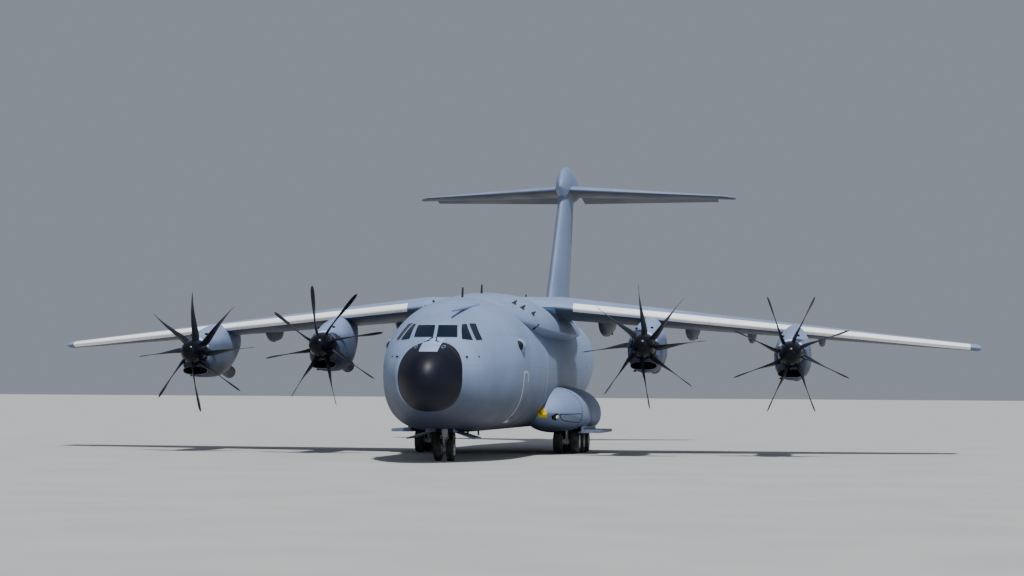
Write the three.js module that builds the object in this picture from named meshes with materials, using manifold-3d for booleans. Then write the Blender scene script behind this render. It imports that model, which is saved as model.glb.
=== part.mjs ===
// A four-engined, high-wing military transport aeroplane with a T-tail and a rear ramp,
// parked on its landing gear. Every size below is that of the full-size aeroplane, in
// millimetres, and the finished group is shown at MODEL_SCALE. +Z is up, the nose points
// to -Y, the aeroplane's left side is +X, and the origin is on the ground under the middle
// of its length. Stations are distances aft of the nose tip, heights are above the ground.

import * as THREE from "three";
import { mergeVertices } from "three/addons/utils/BufferGeometryUtils.js";
import Module from "manifold-3d";

// Driving sizes
const MODEL_SCALE = 0.5;
const LENGTH = 45100;
const SPAN = 42400;
const HEIGHT = 14700;
const WALL = 140; // a fuselage wall with its frames and lining
const GAP = 0.8; // between pieces that touch, and round a pin in its bore
const RUNNING = 14; // between a moving piece and the structure around it

// Materials, one for each finish
const paint = (color, roughness, metalness = 0) =>
  new THREE.MeshStandardMaterial({ color, roughness, metalness });
const finish = {
  grey: paint(0x8f9aa8, 0.55),
  darkGrey: paint(0x5c6470, 0.6),
  black: paint(0x14161b, 0.35),
  blade: paint(0x1a1c22, 0.45),
  glass: paint(0x101820, 0.1),
  interior: paint(0x555b60, 0.8),
  seat: paint(0x2c3330, 0.9),
  metal: paint(0xb8bcc0, 0.35, 0.8),
  gear: paint(0xd8dadc, 0.45),
  tyre: paint(0x17181a, 0.9),
  engine: paint(0x6d6a66, 0.5, 0.6),
};

const wasm = await Module();
wasm.setup();
const aeroplane = new THREE.Group();

// Solids: a closed geometry becomes a solid, solids are joined and cut, and a solid becomes a mesh

function solid(geometry) {
  const bare = geometry.clone();
  bare.deleteAttribute("normal");
  bare.deleteAttribute("uv");
  const merged = mergeVertices(bare, 0.01);
  const faces = [];
  const corner = merged.index.array;
  for (let i = 0; i < corner.length; i += 3) {
    const [a, b, c] = corner.slice(i, i + 3);
    if (a !== b && b !== c && c !== a) faces.push([a, b, c]);
  }
  const make = (list) =>
    new wasm.Manifold(
      new wasm.Mesh({
        numProp: 3,
        vertProperties: merged.attributes.position.array,
        triVerts: new Uint32Array(list.flat()),
      }),
    );
  const made = make(faces);
  return made.volume() < 0 ? make(faces.map(([a, b, c]) => [a, c, b])) : made;
}

function show(name, shape, material) {
  const { vertProperties, triVerts } = shape.getMesh();
  const geometry = new THREE.BufferGeometry();
  geometry.setAttribute("position", new THREE.BufferAttribute(vertProperties, 3));
  geometry.setIndex(new THREE.BufferAttribute(triVerts, 1));
  geometry.translate(0, -LENGTH / 2, 0);
  geometry.scale(MODEL_SCALE, MODEL_SCALE, MODEL_SCALE);
  geometry.computeVertexNormals();
  const mesh = new THREE.Mesh(geometry, material);
  mesh.name = name;
  aeroplane.add(mesh);
}

const point = (x, y, z) => new THREE.Vector3(x, y, z);
const joined = (shapes) => shapes.reduce((sum, shape) => sum.add(shape));
const cut = (shape, ...tools) => tools.reduce((rest, tool) => rest.subtract(tool), shape);

// A skin through loops of points, with a flat cap at each end. The two sides' faces are split
// along mirrored diagonals, so a symmetrical form stays so
function loft(loops) {
  const n = loops[0].length;
  const last = loops.length - 1;
  const points = loops.flat();
  const faces = [];
  const centre = (loop) => loop.reduce((sum, p) => sum.add(p), point(0, 0, 0)).divideScalar(n);
  for (let k = 0; k < last; k++) {
    const { x } = centre(loops[k]);
    for (let i = 0; i < n; i++) {
      const [a, b] = [k * n + i, k * n + ((i + 1) % n)];
      const rightSide = points[a].x + points[b].x < 2 * x - 0.01;
      if (rightSide) faces.push(a, b, b + n, a, b + n, a + n);
      else faces.push(a, b, a + n, b, b + n, a + n);
    }
  }
  for (const k of [0, last]) {
    const middle = centre(loops[k]);
    points.push(middle);
    for (let i = 0; i < n; i++) {
      const [a, b] = [k * n + i, k * n + ((i + 1) % n)];
      faces.push(...(k === 0 ? [b, a] : [a, b]), points.length - 1);
    }
  }
  const geometry = new THREE.BufferGeometry().setFromPoints(points);
  geometry.setIndex(faces);
  return solid(geometry);
}

function block([x0, x1], [y0, y1], [z0, z1]) {
  const box = new THREE.BoxGeometry(x1 - x0, y1 - y0, z1 - z0);
  return solid(box.translate((x0 + x1) / 2, (y0 + y1) / 2, (z0 + z1) / 2));
}

// A round bar from one point to another
function rod(from, to, r0, r1 = r0, sides = 10) {
  const along = to.clone().sub(from);
  const bar = new THREE.CylinderGeometry(r1, r0, along.length(), sides);
  const turn = new THREE.Quaternion().setFromUnitVectors(
    point(0, 1, 0),
    along.clone().normalize(),
  );
  bar.applyQuaternion(turn);
  return solid(bar.translate(...from.clone().add(to).divideScalar(2)));
}

// The hole that a bar of this radius turns in
const bore = (from, to, r, sides = 10) =>
  rod(from, to, (r + GAP) / Math.cos(Math.PI / sides), undefined, sides);

// A flat outline in the Y-Z plane, pushed along X
function plate(outline, [x0, x1]) {
  const shape = new THREE.Shape(outline.map(([y, z]) => new THREE.Vector2(y, z)));
  const slab = new THREE.ExtrudeGeometry(shape, { depth: x1 - x0, bevelEnabled: false });
  const upright = new THREE.Matrix4().makeBasis(
    point(0, 1, 0),
    point(0, 0, 1),
    point(1, 0, 0),
  );
  return solid(slab.applyMatrix4(upright).translate(x0, 0, 0));
}

// An outline in the X-Y plane, pushed up
function upright(outline, [z0, z1]) {
  const shape = new THREE.Shape(outline.map(([x, y]) => new THREE.Vector2(x, y)));
  const slab = new THREE.ExtrudeGeometry(shape, { depth: z1 - z0, bevelEnabled: false });
  return solid(slab.translate(0, 0, z0));
}

// A profile of [height along the axis, radius] turned about an axis parallel to X or Y
function turned(profile, centre, axis, sides) {
  const lathe = new THREE.LatheGeometry(
    profile.map(([along, r]) => new THREE.Vector2(r, along)),
    sides,
  );
  lathe.rotateY(Math.PI / sides);
  if (axis === "X") lathe.rotateZ(-Math.PI / 2);
  return solid(lathe.translate(...centre));
}

// A shape turned by an angle in degrees about the line from one point to another
function turnedAbout(shape, from, to, degrees) {
  const line = to.clone().sub(from).normalize();
  const turn = new THREE.Matrix4().makeRotationAxis(line, THREE.MathUtils.degToRad(degrees));
  const back = new THREE.Matrix4().makeTranslation(...from.clone().negate());
  const there = new THREE.Matrix4().makeTranslation(...from);
  return shape.transform(there.multiply(turn).multiply(back).elements);
}

const mirrored = (shape) => shape.mirror([1, 0, 0]);
const onSide = (side, shape) => (side === "left" ? shape : mirrored(shape));

// Fuselage

// A closed loop round the fuselage at a station: an ellipse above its widest height,
// and a fuller curve below
function hoop(station, halfWidth, crown, widest, keel, { x = 0, sides = 22, belly = 2.8 } = {}) {
  return Array.from({ length: sides }, (_, i) => {
    const angle = (i / sides) * 2 * Math.PI;
    const [c, s] = [Math.cos(angle), Math.sin(angle)];
    const power = s < 0 ? 2 / belly : 1;
    const across = Math.sign(c) * Math.abs(c) ** power;
    const up = Math.abs(s) ** power * (s < 0 ? keel - widest : crown - widest);
    return point(x + halfWidth * across, station, widest + up);
  });
}

// Columns: station, half width, crown, widest height, keel, fullness of the belly where it
// isn't the usual one
const FUSELAGE = [
  [0, 60, 3210, 3150, 3090, 2],
  [50, 270, 3420, 3150, 2900, 2],
  [200, 520, 3700, 3155, 2660, 2],
  [500, 800, 4010, 3170, 2370, 2.05],
  [1000, 1120, 4310, 3200, 2040, 2.1],
  [1600, 1420, 4540, 3250, 1760, 2.25],
  [2500, 1790, 4780, 3330, 1470, 2.5],
  [2950, 1950, 5290, 3370, 1370, 2.6],
  [3600, 2160, 5600, 3450, 1265, 2.7],
  [4300, 2365, 5830, 3510, 1180],
  [5000, 2530, 6030, 3570, 1130],
  [6000, 2680, 6270, 3650, 1105],
  [7200, 2780, 6460, 3710, 1100],
  [8700, 2820, 6550, 3730, 1100],
  [24200, 2820, 6550, 3730, 1100],
  [26200, 2815, 6550, 3770, 1330],
  [28600, 2745, 6550, 3900, 1960],
  [31200, 2580, 6550, 4140, 2730],
  [33800, 2270, 6520, 4420, 3500],
  [36400, 1830, 6460, 4730, 4180],
  [39000, 1300, 6370, 5070, 4760],
  [41400, 740, 6210, 5400, 5160],
  [42900, 330, 6010, 5640, 5420],
  [43300, 90, 5830, 5730, 5640],
];
const NOSE_END = 9000;
const CENTRE_END = 25300;
const RADOME = { top: [1610, 4600], foot: [1110, 1950] }; // [station, height] of its rear edge
const FLOOR = 1700;
const FLOOR_DEPTH = 150;
const FLOOR_HALF = 1900;
const DECK = 3300; // the cockpit floor

// The fuselage's form, grown or shrunk by an offset
const body = (offset) =>
  loft(
    FUSELAGE.filter(([, half]) => half + offset > 40).map(
      ([y, half, crown, widest, keel, belly]) =>
        hoop(y, half + offset, crown + offset, widest, keel - offset, { belly }),
    ),
  );
const outside = body(0);
const around = body(GAP);
const inside = body(-WALL);
const wall = outside.subtract(inside);

// Everything forward of the radome's slanting rear edge, moved aft by a distance
function aheadOfRadomeEdge(distance) {
  const [[y1, z1], [y0, z0]] = [RADOME.top, RADOME.foot];
  const slope = (y1 - y0) / (z1 - z0);
  const edge = (z) => y0 + (z - z0) * slope + distance;
  return plate(
    [
      [-500, 0],
      [edge(0), 0],
      [edge(HEIGHT), HEIGHT],
      [-500, HEIGHT],
    ],
    [-SPAN, SPAN],
  );
}

const everything = [-SPAN, SPAN];
const tall = [-500, 2 * HEIGHT];
const frontHalf = aheadOfRadomeEdge(0);
show("radome", outside.intersect(aheadOfRadomeEdge(-GAP)), finish.black);

// Cockpit windows, as outlines seen from ahead. Columns: x and height of each corner
const WINDOWS = {
  front: [[45, 4785], [865, 4785], [785, 5280], [45, 5280]],
  sideFront: [[1020, 4705], [1430, 4670], [1040, 5350], [890, 5325]],
  sideRear: [[1520, 4670], [1705, 4700], [1320, 5365], [1105, 5365]],
};
const WINDOW_DEPTH = [1900, 5200];
const PANE = 30;
const PANE_SET = 12; // how far the glass lies below the skin

function windowHole(outline, inset) {
  const centre = outline.reduce(([a, b], [x, z]) => [a + x / 4, b + z / 4], [0, 0]);
  const points = outline.map(([x, z]) => {
    const away = new THREE.Vector2(x - centre[0], z - centre[1]);
    return new THREE.Vector2(x, z).sub(away.normalize().multiplyScalar(inset));
  });
  const depth = WINDOW_DEPTH[1] - WINDOW_DEPTH[0];
  const slab = new THREE.ExtrudeGeometry(new THREE.Shape(points), { depth, bevelEnabled: false });
  return solid(slab.rotateX(Math.PI / 2).translate(0, WINDOW_DEPTH[1], 0));
}

const backLayer = body(-WALL - GAP).subtract(body(-WALL - PANE));
const holes = [];
for (const side of ["left", "right"]) {
  for (const outline of Object.values(WINDOWS)) {
    holes.push(onSide(side, windowHole(outline, 0)));
  }
}

// A row of panes, joined behind the post between them
function panes(outlines, [x0, x1], [z0, z1]) {
  const reveal = body(-PANE_SET).subtract(body(-WALL - PANE));
  const each = outlines.map((outline) => windowHole(outline, GAP * 3).intersect(reveal));
  const backing = backLayer.intersect(block([x0, x1], WINDOW_DEPTH, [z0, z1]));
  return joined([...each, backing]);
}

// Nose section, with the crew door, windows and nose gear bay
const CREW_DOOR = { y: [7150, 7980], z: [1680, 3460], round: 190 };
const NOSE_BAY = { half: 560, y: [3650, 6150], roof: 2150, wall: 60 };

// A rounded doorway seen from the side, as an outline in the Y-Z plane
function doorway({ y: [y0, y1], z: [z0, z1], round }, inset) {
  const [a, b, c, d] = [y0 + inset, y1 - inset, z0 + inset, z1 - inset];
  const shape = new THREE.Shape();
  shape.moveTo(a, c);
  shape.lineTo(b, c);
  shape.lineTo(b, d - round);
  shape.absarc(b - round, d - round, round, 0, Math.PI / 2);
  shape.lineTo(a + round, d);
  shape.absarc(a + round, d - round, round, Math.PI / 2, Math.PI);
  return shape.getPoints(3).map(({ x, y }) => [x, y]);
}

const bay = block([-NOSE_BAY.half, NOSE_BAY.half], NOSE_BAY.y, [0, NOSE_BAY.roof]);
const bayBox = block(
  [-NOSE_BAY.half - NOSE_BAY.wall, NOSE_BAY.half + NOSE_BAY.wall],
  [NOSE_BAY.y[0] - NOSE_BAY.wall, NOSE_BAY.y[1] + NOSE_BAY.wall],
  [0, NOSE_BAY.roof + NOSE_BAY.wall],
).intersect(body(-WALL / 2));
const noseHollow = inside.subtract(aheadOfRadomeEdge(WALL));
const crewDoorHole = plate(doorway(CREW_DOOR, 0), [1500, 3500]);
const CREW_HINGE = { x: 2195, z: 1738, r: 32, reach: 70 };
const crewPin = (r, grow) =>
  rod(
    point(CREW_HINGE.x, CREW_DOOR.y[0] - CREW_HINGE.reach - grow, CREW_HINGE.z),
    point(CREW_HINGE.x, CREW_DOOR.y[1] + CREW_HINGE.reach + grow, CREW_HINGE.z),
    r,
    r,
    12,
  );

const noseSkin = outside.intersect(block(everything, [-500, NOSE_END], tall)).subtract(frontHalf);
const noseShell = cut(
  noseSkin.subtract(noseHollow).add(bayBox),
  bay,
  crewDoorHole,
  crewPin(CREW_HINGE.r / Math.cos(Math.PI / 12) + GAP, GAP),
  ...holes,
);
show("nose_shell", noseShell, finish.grey);

const crewDoor = plate(doorway(CREW_DOOR, RUNNING), [1500, 3500])
  .intersect(outside.subtract(body(-WALL + RUNNING)))
  .add(crewPin(CREW_HINGE.r, 0));
show("crew_door", crewDoor, finish.grey);

show(
  "windscreen",
  panes([WINDOWS.front, WINDOWS.front.map(([x, z]) => [-x, z])], [-700, 700], [4800, 5260]),
  finish.glass,
);
for (const side of ["left", "right"]) {
  const pair = panes([WINDOWS.sideFront, WINDOWS.sideRear], [1000, 1450], [4750, 5350]);
  show(`side_windows_${side}`, onSide(side, pair), finish.glass);
}

// Cockpit: a deck with a rear wall, the instrument panel and two seats
const within = body(-WALL - GAP);
const COCKPIT = { y: [2450, 6700], thick: 80 };
const deck = joined([
  block([-3000, 3000], COCKPIT.y, [DECK - COCKPIT.thick, DECK]),
  block([-3000, 3000], [COCKPIT.y[1] - COCKPIT.thick, COCKPIT.y[1]], [DECK - 1, HEIGHT]),
]);
const doorwayInWall = block([-400, 400], [COCKPIT.y[1] - 500, COCKPIT.y[1] + 500], [DECK, 5200]);
show("cockpit_deck", within.intersect(deck).subtract(doorwayInWall), finish.interior);

const panel = plate(
  [
    [2620, DECK + GAP],
    [3050, DECK + GAP],
    [3050, 4150],
    [3350, 4330],
    [3350, 4400],
    [2900, 4480],
    [2620, 4420],
  ],
  [-1200, 1200],
);
show("instrument_panel", body(-WALL - 60).intersect(panel), finish.interior);

const SEAT = { x: 620, half: 260, y: 4000 };
const seatOutline = [
  [SEAT.y, DECK + GAP],
  [SEAT.y + 450, DECK + GAP],
  [SEAT.y + 450, 3680],
  [SEAT.y + 640, 4700],
  [SEAT.y + 500, 4720],
  [SEAT.y + 380, 3850],
  [SEAT.y - 100, 3880],
  [SEAT.y - 100, 3680],
  [SEAT.y, 3650],
];
const seats = ["left", "right"].map((side) =>
  onSide(side, plate(seatOutline, [SEAT.x - SEAT.half, SEAT.x + SEAT.half])),
);
const pedestal = block([-SEAT.x, SEAT.x], [SEAT.y + 60, SEAT.y + 300], [DECK + GAP, DECK + 260]);
show("pilot_seats", joined([...seats, pedestal]), finish.seat);

// Wing: its leading edge, chord, thickness and height all run straight from the root to the tip

// Columns: share of the chord from the leading edge, share of the full thickness above the middle
const AIRFOIL = [
  [1, 0.03], [0.72, 0.55], [0.5, 0.87], [0.33, 1], [0.16, 0.86], [0.05, 0.52], [0.01, 0.23], [0, 0],
];
const aerofoilLoop = [
  ...AIRFOIL,
  ...AIRFOIL.slice(0, -1).reverse().map(([along, up]) => [along, -up]),
];
// A surface's section at each end. Columns: distance out, station and height of the leading
// edge, chord, thickness, and how far the leading edge stands above the trailing edge
const WING = [
  [2900, 14944, 6380, 6900, 1010, 300],
  [21200, 20900, 4760, 2500, 300, 40],
];
const ROOT = WING[0][0];
const TIP = WING[1][0];
const CAMBER = 0.018;

// A surface's sizes at a distance out, taken straight between its two end sections
function sectionAt([inner, outer], x) {
  const share = (x - inner[0]) / (outer[0] - inner[0]);
  const [nose, height, chord, thick, lean] = [1, 2, 3, 4, 5].map((k) =>
    THREE.MathUtils.lerp(inner[k], outer[k], share),
  );
  return { nose, height, chord, thick, lean };
}

// The middle of a section's thickness at a share of the chord, as [station, height]
function chordPoint(surface, x, along, camber = CAMBER) {
  const { nose, height, chord, lean } = sectionAt(surface, x);
  return [nose + chord * along, height - lean * along + 4 * camber * along * (1 - along) * chord];
}

function wingLoop(x, grow = 0) {
  const { nose, chord, thick } = sectionAt(WING, x);
  return aerofoilLoop.map(([along, up]) => {
    const [y, z] = chordPoint(WING, x, along);
    const stretch = nose + chord / 2;
    const outward = Math.sign(up) * grow;
    return point(x, y + Math.sign(y - stretch) * 2 * grow, z + (up * thick) / 2 + outward);
  });
}

// The end loop of a surface, drawn in so that the tip is thin and its nose swept back
function roundedEnd(surface, loop, back) {
  const { nose, height, chord } = sectionAt(surface, loop[0].x);
  return loop.map(({ x, y, z }) =>
    point(x, nose + back * chord + (y - nose) * (1 - back), height + (z - height) * 0.35),
  );
}
const roundedTip = roundedEnd(WING, wingLoop(TIP), 0.15);
const wingForm = (grow) =>
  loft([wingLoop(ROOT + GAP - grow, grow), wingLoop(TIP - 260, grow), roundedTip]);

// A line across the wing at a share of the chord, straight between two distances out
function lineOn(surface, along, camber) {
  return (x) => {
    const [y, z] = chordPoint(surface, x, along, camber);
    return point(x, y, z);
  };
}

const wingCentre = (grow) =>
  loft([-1, 1].map((end) => wingLoop(ROOT, grow).map((p) => point(end * (ROOT + grow), p.y, p.z))));
show("wing_centre_box", wingCentre(0), finish.grey);

// Flap: hinged on a line below the wing, at the bottom of its hinge fairings
const FLAP = { x: [3200, 14600], drops: [810, 400], along: 0.72, knuckle: 55 };
// Columns: how far out each hinge fairing lies, its half width, and its length as a share
const FAIRINGS = [[4600, 330, 1], [8400, 300, 0.92], [11040, 190, 0.76], [14150, 170, 0.66]];
const flapMiddle = lineOn(WING, FLAP.along, CAMBER);
const flapHinge = (x) => {
  const out = (x - FLAP.x[0]) / (FLAP.x[1] - FLAP.x[0]);
  return flapMiddle(x).sub(point(0, 0, THREE.MathUtils.lerp(...FLAP.drops, out)));
};

// Everything behind a line across the wing, between two distances out
const behind = ([x0, x1], line, [z0, z1] = [3500, 8000]) =>
  upright([[x0, line(x0)], [x1, line(x1)], [x1, 46000], [x0, 46000]], [z0, z1]);

// One hinge fairing: a deep pod under the wing. Columns: distance aft of the hinge,
// share of the half width, share of the way from the wing's middle down to the pod's foot
const POD = [
  [-2300, 0.18, 0.28], [-1700, 0.66, 0.7], [-800, 0.96, 0.94],
  [0, 1, 1], [900, 0.92, 0.9], [1700, 0.25, 0.3],
];
function pod([x, halfWidth, size]) {
  const hinge = flapHinge(x);
  const top = flapMiddle(x).z;
  const depth = top - hinge.z + FLAP.knuckle;
  return loft(
    POD.map(([aft, half, down]) =>
      hoop(hinge.y + aft * size, half * halfWidth, top + 30, top - 60, top - down * depth, {
        x,
        sides: 8,
        belly: 2.5,
      }),
    ),
  );
}
const pods = joined(FAIRINGS.map(pod));
const knuckle = ([x], half, r, sides) =>
  rod(flapHinge(x - half), flapHinge(x + half), r, r, sides);
const knuckleSeat = (each) =>
  knuckle(each, each[1] + 2 * RUNNING, (FLAP.knuckle + GAP) / Math.cos(Math.PI / 20), 20);

// Ailerons turn on a line inside the wing
const AILERON = { x: [14900, 20500], along: 0.74, end: 80, pin: 30, pinReach: 90 };
const aileronHinge = lineOn(WING, AILERON.along, CAMBER);

// A control surface's round nose and pins, and the region that it takes from the fixed part
function controlSurface(form, spec, hinge, noseRadius, region) {
  const [x0, x1] = spec.x;
  const [in0, out1] = [x0 - spec.end - spec.pinReach, x1 + spec.end + spec.pinReach];
  const nose = rod(hinge(x0), hinge(x1), noseRadius(x0), noseRadius(x1), 16);
  const pin = (r, more) => rod(hinge(in0 - more), hinge(out1 + more), r, r, 10);
  const tail = form.intersect(region([x0, x1], 0));
  const ends = [x0 - spec.end, x1 + spec.end];
  const lean = (x1 - x0) / hinge(x1).distanceTo(hinge(x0));
  return {
    moving: joined([tail, nose, pin(spec.pin, 0)]),
    taken: region(ends, noseRadius(x0) / lean + RUNNING).add(pin(spec.pin * 1.06 + GAP, GAP)),
  };
}
const aileronNose = (x) => 0.215 * sectionAt(WING, x).thick;
const wingSolid = wingForm(0);
const aileron = controlSurface(wingSolid, AILERON, aileronHinge, aileronNose, (span, ahead) =>
  behind(span, (x) => aileronHinge(x).y - ahead),
);

const flapRegion = behind([ROOT - 10, FLAP.x[1] + 2 * RUNNING], (x) => flapHinge(x).y - RUNNING);
const fixedWing = cut(
  wingSolid.add(pods),
  flapRegion,
  aileron.taken,
  ...FAIRINGS.map(knuckleSeat),
);
const flap = joined([
  wingSolid.add(pods).intersect(behind(FLAP.x, (x) => flapHinge(x).y)),
  ...FAIRINGS.map((each) => knuckle(each, 0.7 * each[1], FLAP.knuckle, 10)),
]);
for (const side of ["left", "right"]) {
  show(`wing_${side}`, onSide(side, fixedWing), finish.grey);
  show(`flap_${side}`, onSide(side, flap), finish.grey);
  show(`aileron_${side}`, onSide(side, aileron.moving), finish.grey);
}

// Fairing over the wing's root, on the fuselage's shoulders.
// Columns: station, half width, top, widest height, bottom
const ROOT_FAIRING = [
  [9300, 900, 6560, 6000, 5500],
  [10600, 2050, 6660, 5650, 5150],
  [12300, 2700, 6820, 5420, 4860],
  [14200, 3010, 6960, 5320, 4740],
  [18500, 3080, 7000, 5300, 4700],
  [21800, 3000, 6940, 5300, 4720],
  [24500, 2760, 6800, 5400, 4860],
  [27000, 2150, 6650, 5600, 5150],
  [28800, 1200, 6560, 5900, 5600],
];
const fairingForm = loft(
  ROOT_FAIRING.map(([y, half, top, widest, bottom]) =>
    hoop(y, half, top, widest, bottom, { sides: 22, belly: 2 }),
  ),
);
const largest = (shape) =>
  shape.decompose().reduce((big, each) => (each.volume() > big.volume() ? each : big));
const fairing = cut(fairingForm, around, wingCentre(GAP), wingForm(GAP), mirrored(wingForm(GAP)));
show("wing_root_fairing", largest(fairing), finish.grey);

// Centre and rear fuselage, with the hold's floor, ramp and upper door
const RAMP = {
  half: 1800, front: CENTRE_END + 45, tip: 30700, tipTop: 2900, axis: [25260, 1290], pin: 60, reach: 500,
};
const DOOR = { tip: 35500, frontHalf: 1800, rearHalf: 1400, axis: [35430, 4092], pin: 40, reach: 70 };

// A bar along X through a point seen from the side
const crossBar = ([y, z], half, r, sides = 12) =>
  rod(point(-half, y, z), point(half, y, z), r, r, sides);
const crossBore = (axis, half, r) => crossBar(axis, half, (r + GAP) / Math.cos(Math.PI / 12));

// Everything inside the arc that the ramp's tip sweeps about its hinge
const tipFoot = [RAMP.tip - RAMP.axis[0], 2582 - RAMP.axis[1]];
const tipRadius = Math.hypot(...tipFoot);
const sweep = (r) => crossBar(RAMP.axis, 4000, r, 180);

const [rampY, rampZ] = RAMP.axis;
const rampBody = (grow) =>
  plate(
    [
      [RAMP.front - grow, 0],
      [RAMP.tip + 400, 0],
      [RAMP.tip + 400, RAMP.tipTop],
      [RAMP.tip, RAMP.tipTop],
      [RAMP.front - grow, FLOOR],
    ],
    [-RAMP.half - grow, RAMP.half + grow],
  );
const rampLug = block([-RAMP.reach, RAMP.reach], [rampY, rampY + 120], [rampZ - 50, rampZ + 50]);
const ramp = joined([
  outside.intersect(rampBody(0)).intersect(sweep(tipRadius)),
  rampLug,
  crossBar(RAMP.axis, RAMP.reach, RAMP.pin),
]);
show("cargo_ramp", ramp, finish.grey);

// Room for the ramp's lug to swing down behind its hinge pin
const lugRoom = plate(
  [
    [rampY - 10, rampZ - 400],
    [rampY + 10, rampZ + 50 + RUNNING],
    [rampY + 200, rampZ + 50 + RUNNING],
    [rampY + 200, rampZ - 400],
  ],
  [-RAMP.reach - RUNNING, RAMP.reach + RUNNING],
);
const centreSkin = wall.intersect(block(everything, [NOSE_END + GAP, CENTRE_END - GAP], tall));
const centreShell = cut(
  centreSkin,
  wingCentre(GAP),
  crossBore(RAMP.axis, RAMP.reach + GAP, RAMP.pin),
  lugRoom,
);
show("centre_shell", centreShell, finish.grey);

// The upper door swings up into the tail about a pin at its rear edge
const doorPlan = (grow, end) =>
  upright(
    [
      [-DOOR.frontHalf - grow, RAMP.tip - 700],
      [DOOR.frontHalf + grow, RAMP.tip - 700],
      [DOOR.rearHalf + grow, end],
      [-DOOR.rearHalf - grow, end],
    ],
    [0, 5000],
  );
const cargoDoor = joined([
  wall.intersect(doorPlan(-RUNNING, DOOR.axis[0] + 10)).subtract(sweep(tipRadius + 2 * RUNNING)),
  crossBar(DOOR.axis, DOOR.rearHalf + DOOR.reach, DOOR.pin),
]);
show("cargo_door", largest(cargoDoor), finish.grey);

const PARA_DOOR = { y: [26300, 27250], z: [2000, 3880], round: 150 };
const paraHole = plate(doorway(PARA_DOOR, 0), [1900, 3500]);
const rampHole = plate(
  [[CENTRE_END - 10, 0], [RAMP.tip + 10, 0], [RAMP.tip + 10, 4200], [CENTRE_END - 10, 4200]],
  [-RAMP.half - RUNNING, RAMP.half + RUNNING],
);
const tailShell = cut(
  wall.intersect(block(everything, [CENTRE_END + GAP, LENGTH], tall)),
  rampHole,
  doorPlan(0, DOOR.tip),
  crossBore(DOOR.axis, DOOR.rearHalf + DOOR.reach + GAP, DOOR.pin),
  paraHole,
  mirrored(paraHole),
);
show("tail_shell", tailShell, finish.grey);

const paraDoor = plate(doorway(PARA_DOOR, GAP), [1900, 3500]).intersect(wall);
for (const side of ["left", "right"]) {
  show(`paratroop_door_${side}`, onSide(side, paraDoor), finish.grey);
}

const floor = block([-FLOOR_HALF, FLOOR_HALF], [6300, CENTRE_END], [FLOOR - FLOOR_DEPTH, FLOOR]);
show("cargo_floor", within.intersect(floor), finish.interior);

// Fin and rudder. Sections as for the wing, with the distance out measured up
const FIN = [
  [6000, 32710, 0, 8000, 860, 0],
  [13500, 38660, 0, 4420, 620, 0],
];
// A section lying flat, its thickness across the aeroplane
const finLoop = (z, grow = 0) => {
  const { nose, chord, thick } = sectionAt(FIN, z);
  return aerofoilLoop.map(([along, up]) =>
    point((up * thick) / 2 + Math.sign(up) * grow, nose + along * chord, z),
  );
};
const TAILPLANE = [
  [0, 38500, 13440, 4900, 560, 60],
  [8750, 43500, 13350, 1600, 170, 10],
];
const tailLoop = (x, grow = 0) => {
  const { thick, nose, chord } = sectionAt(TAILPLANE, x);
  return aerofoilLoop.map(([along, up]) => {
    const [y, z] = chordPoint(TAILPLANE, x, along, 0);
    const ends = Math.sign(y - nose - chord / 2) * 2 * grow;
    return point(x, y + ends, z + (up * thick) / 2 + Math.sign(up) * grow);
  });
};
const TAIL_TIP = TAILPLANE[1][0];
const tailEnd = roundedEnd(TAILPLANE, tailLoop(TAIL_TIP), 0.7);
const halfTail = (grow) => loft([tailLoop(0, grow), tailLoop(TAIL_TIP - 600, grow), tailEnd]);

// The fairing where fin and tailplane meet. Columns: station, half width, top, middle, foot
const BULLET = [
  [37500, 30, 13530, 13500, 13470], [37900, 220, 14010, 13500, 13160],
  [38700, 380, 14500, 13500, 12960], [39800, 450, HEIGHT, 13500, 12860],
  [42000, 400, 14520, 13500, 12960], [43800, 240, 14020, 13500, 13220],
  [44600, 40, 13610, 13520, 13460],
];
const bullet = (grow) =>
  loft(
    BULLET.map(([y, half, top, middle, foot]) =>
      hoop(y, half + grow, top + grow, middle, foot - grow, { sides: 12, belly: 2 }),
    ),
  );
const ELEVATOR = { x: [560, 7800], along: 0.68, end: 80, pin: 24, pinReach: 80 };
const DROOP = 15; // degrees that the elevators hang down when the aeroplane is parked
const elevatorHinge = lineOn(TAILPLANE, ELEVATOR.along, 0);
const elevatorNose = (x) => 0.25 * sectionAt(TAILPLANE, x).thick;
const elevator = controlSurface(
  halfTail(0), ELEVATOR, elevatorHinge, elevatorNose,
  (span, ahead) => behind(span, (x) => elevatorHinge(x).y - ahead, [12000, 14500]),
);
const halfFixed = cut(halfTail(0), elevator.taken).add(bullet(0));
show("tailplane", halfFixed.add(mirrored(halfFixed)), finish.grey);
const drooped = turnedAbout(
  elevator.moving, elevatorHinge(ELEVATOR.x[1]), elevatorHinge(ELEVATOR.x[0]), DROOP,
);
for (const side of ["left", "right"]) {
  show(`elevator_${side}`, onSide(side, drooped), finish.grey);
}

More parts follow.
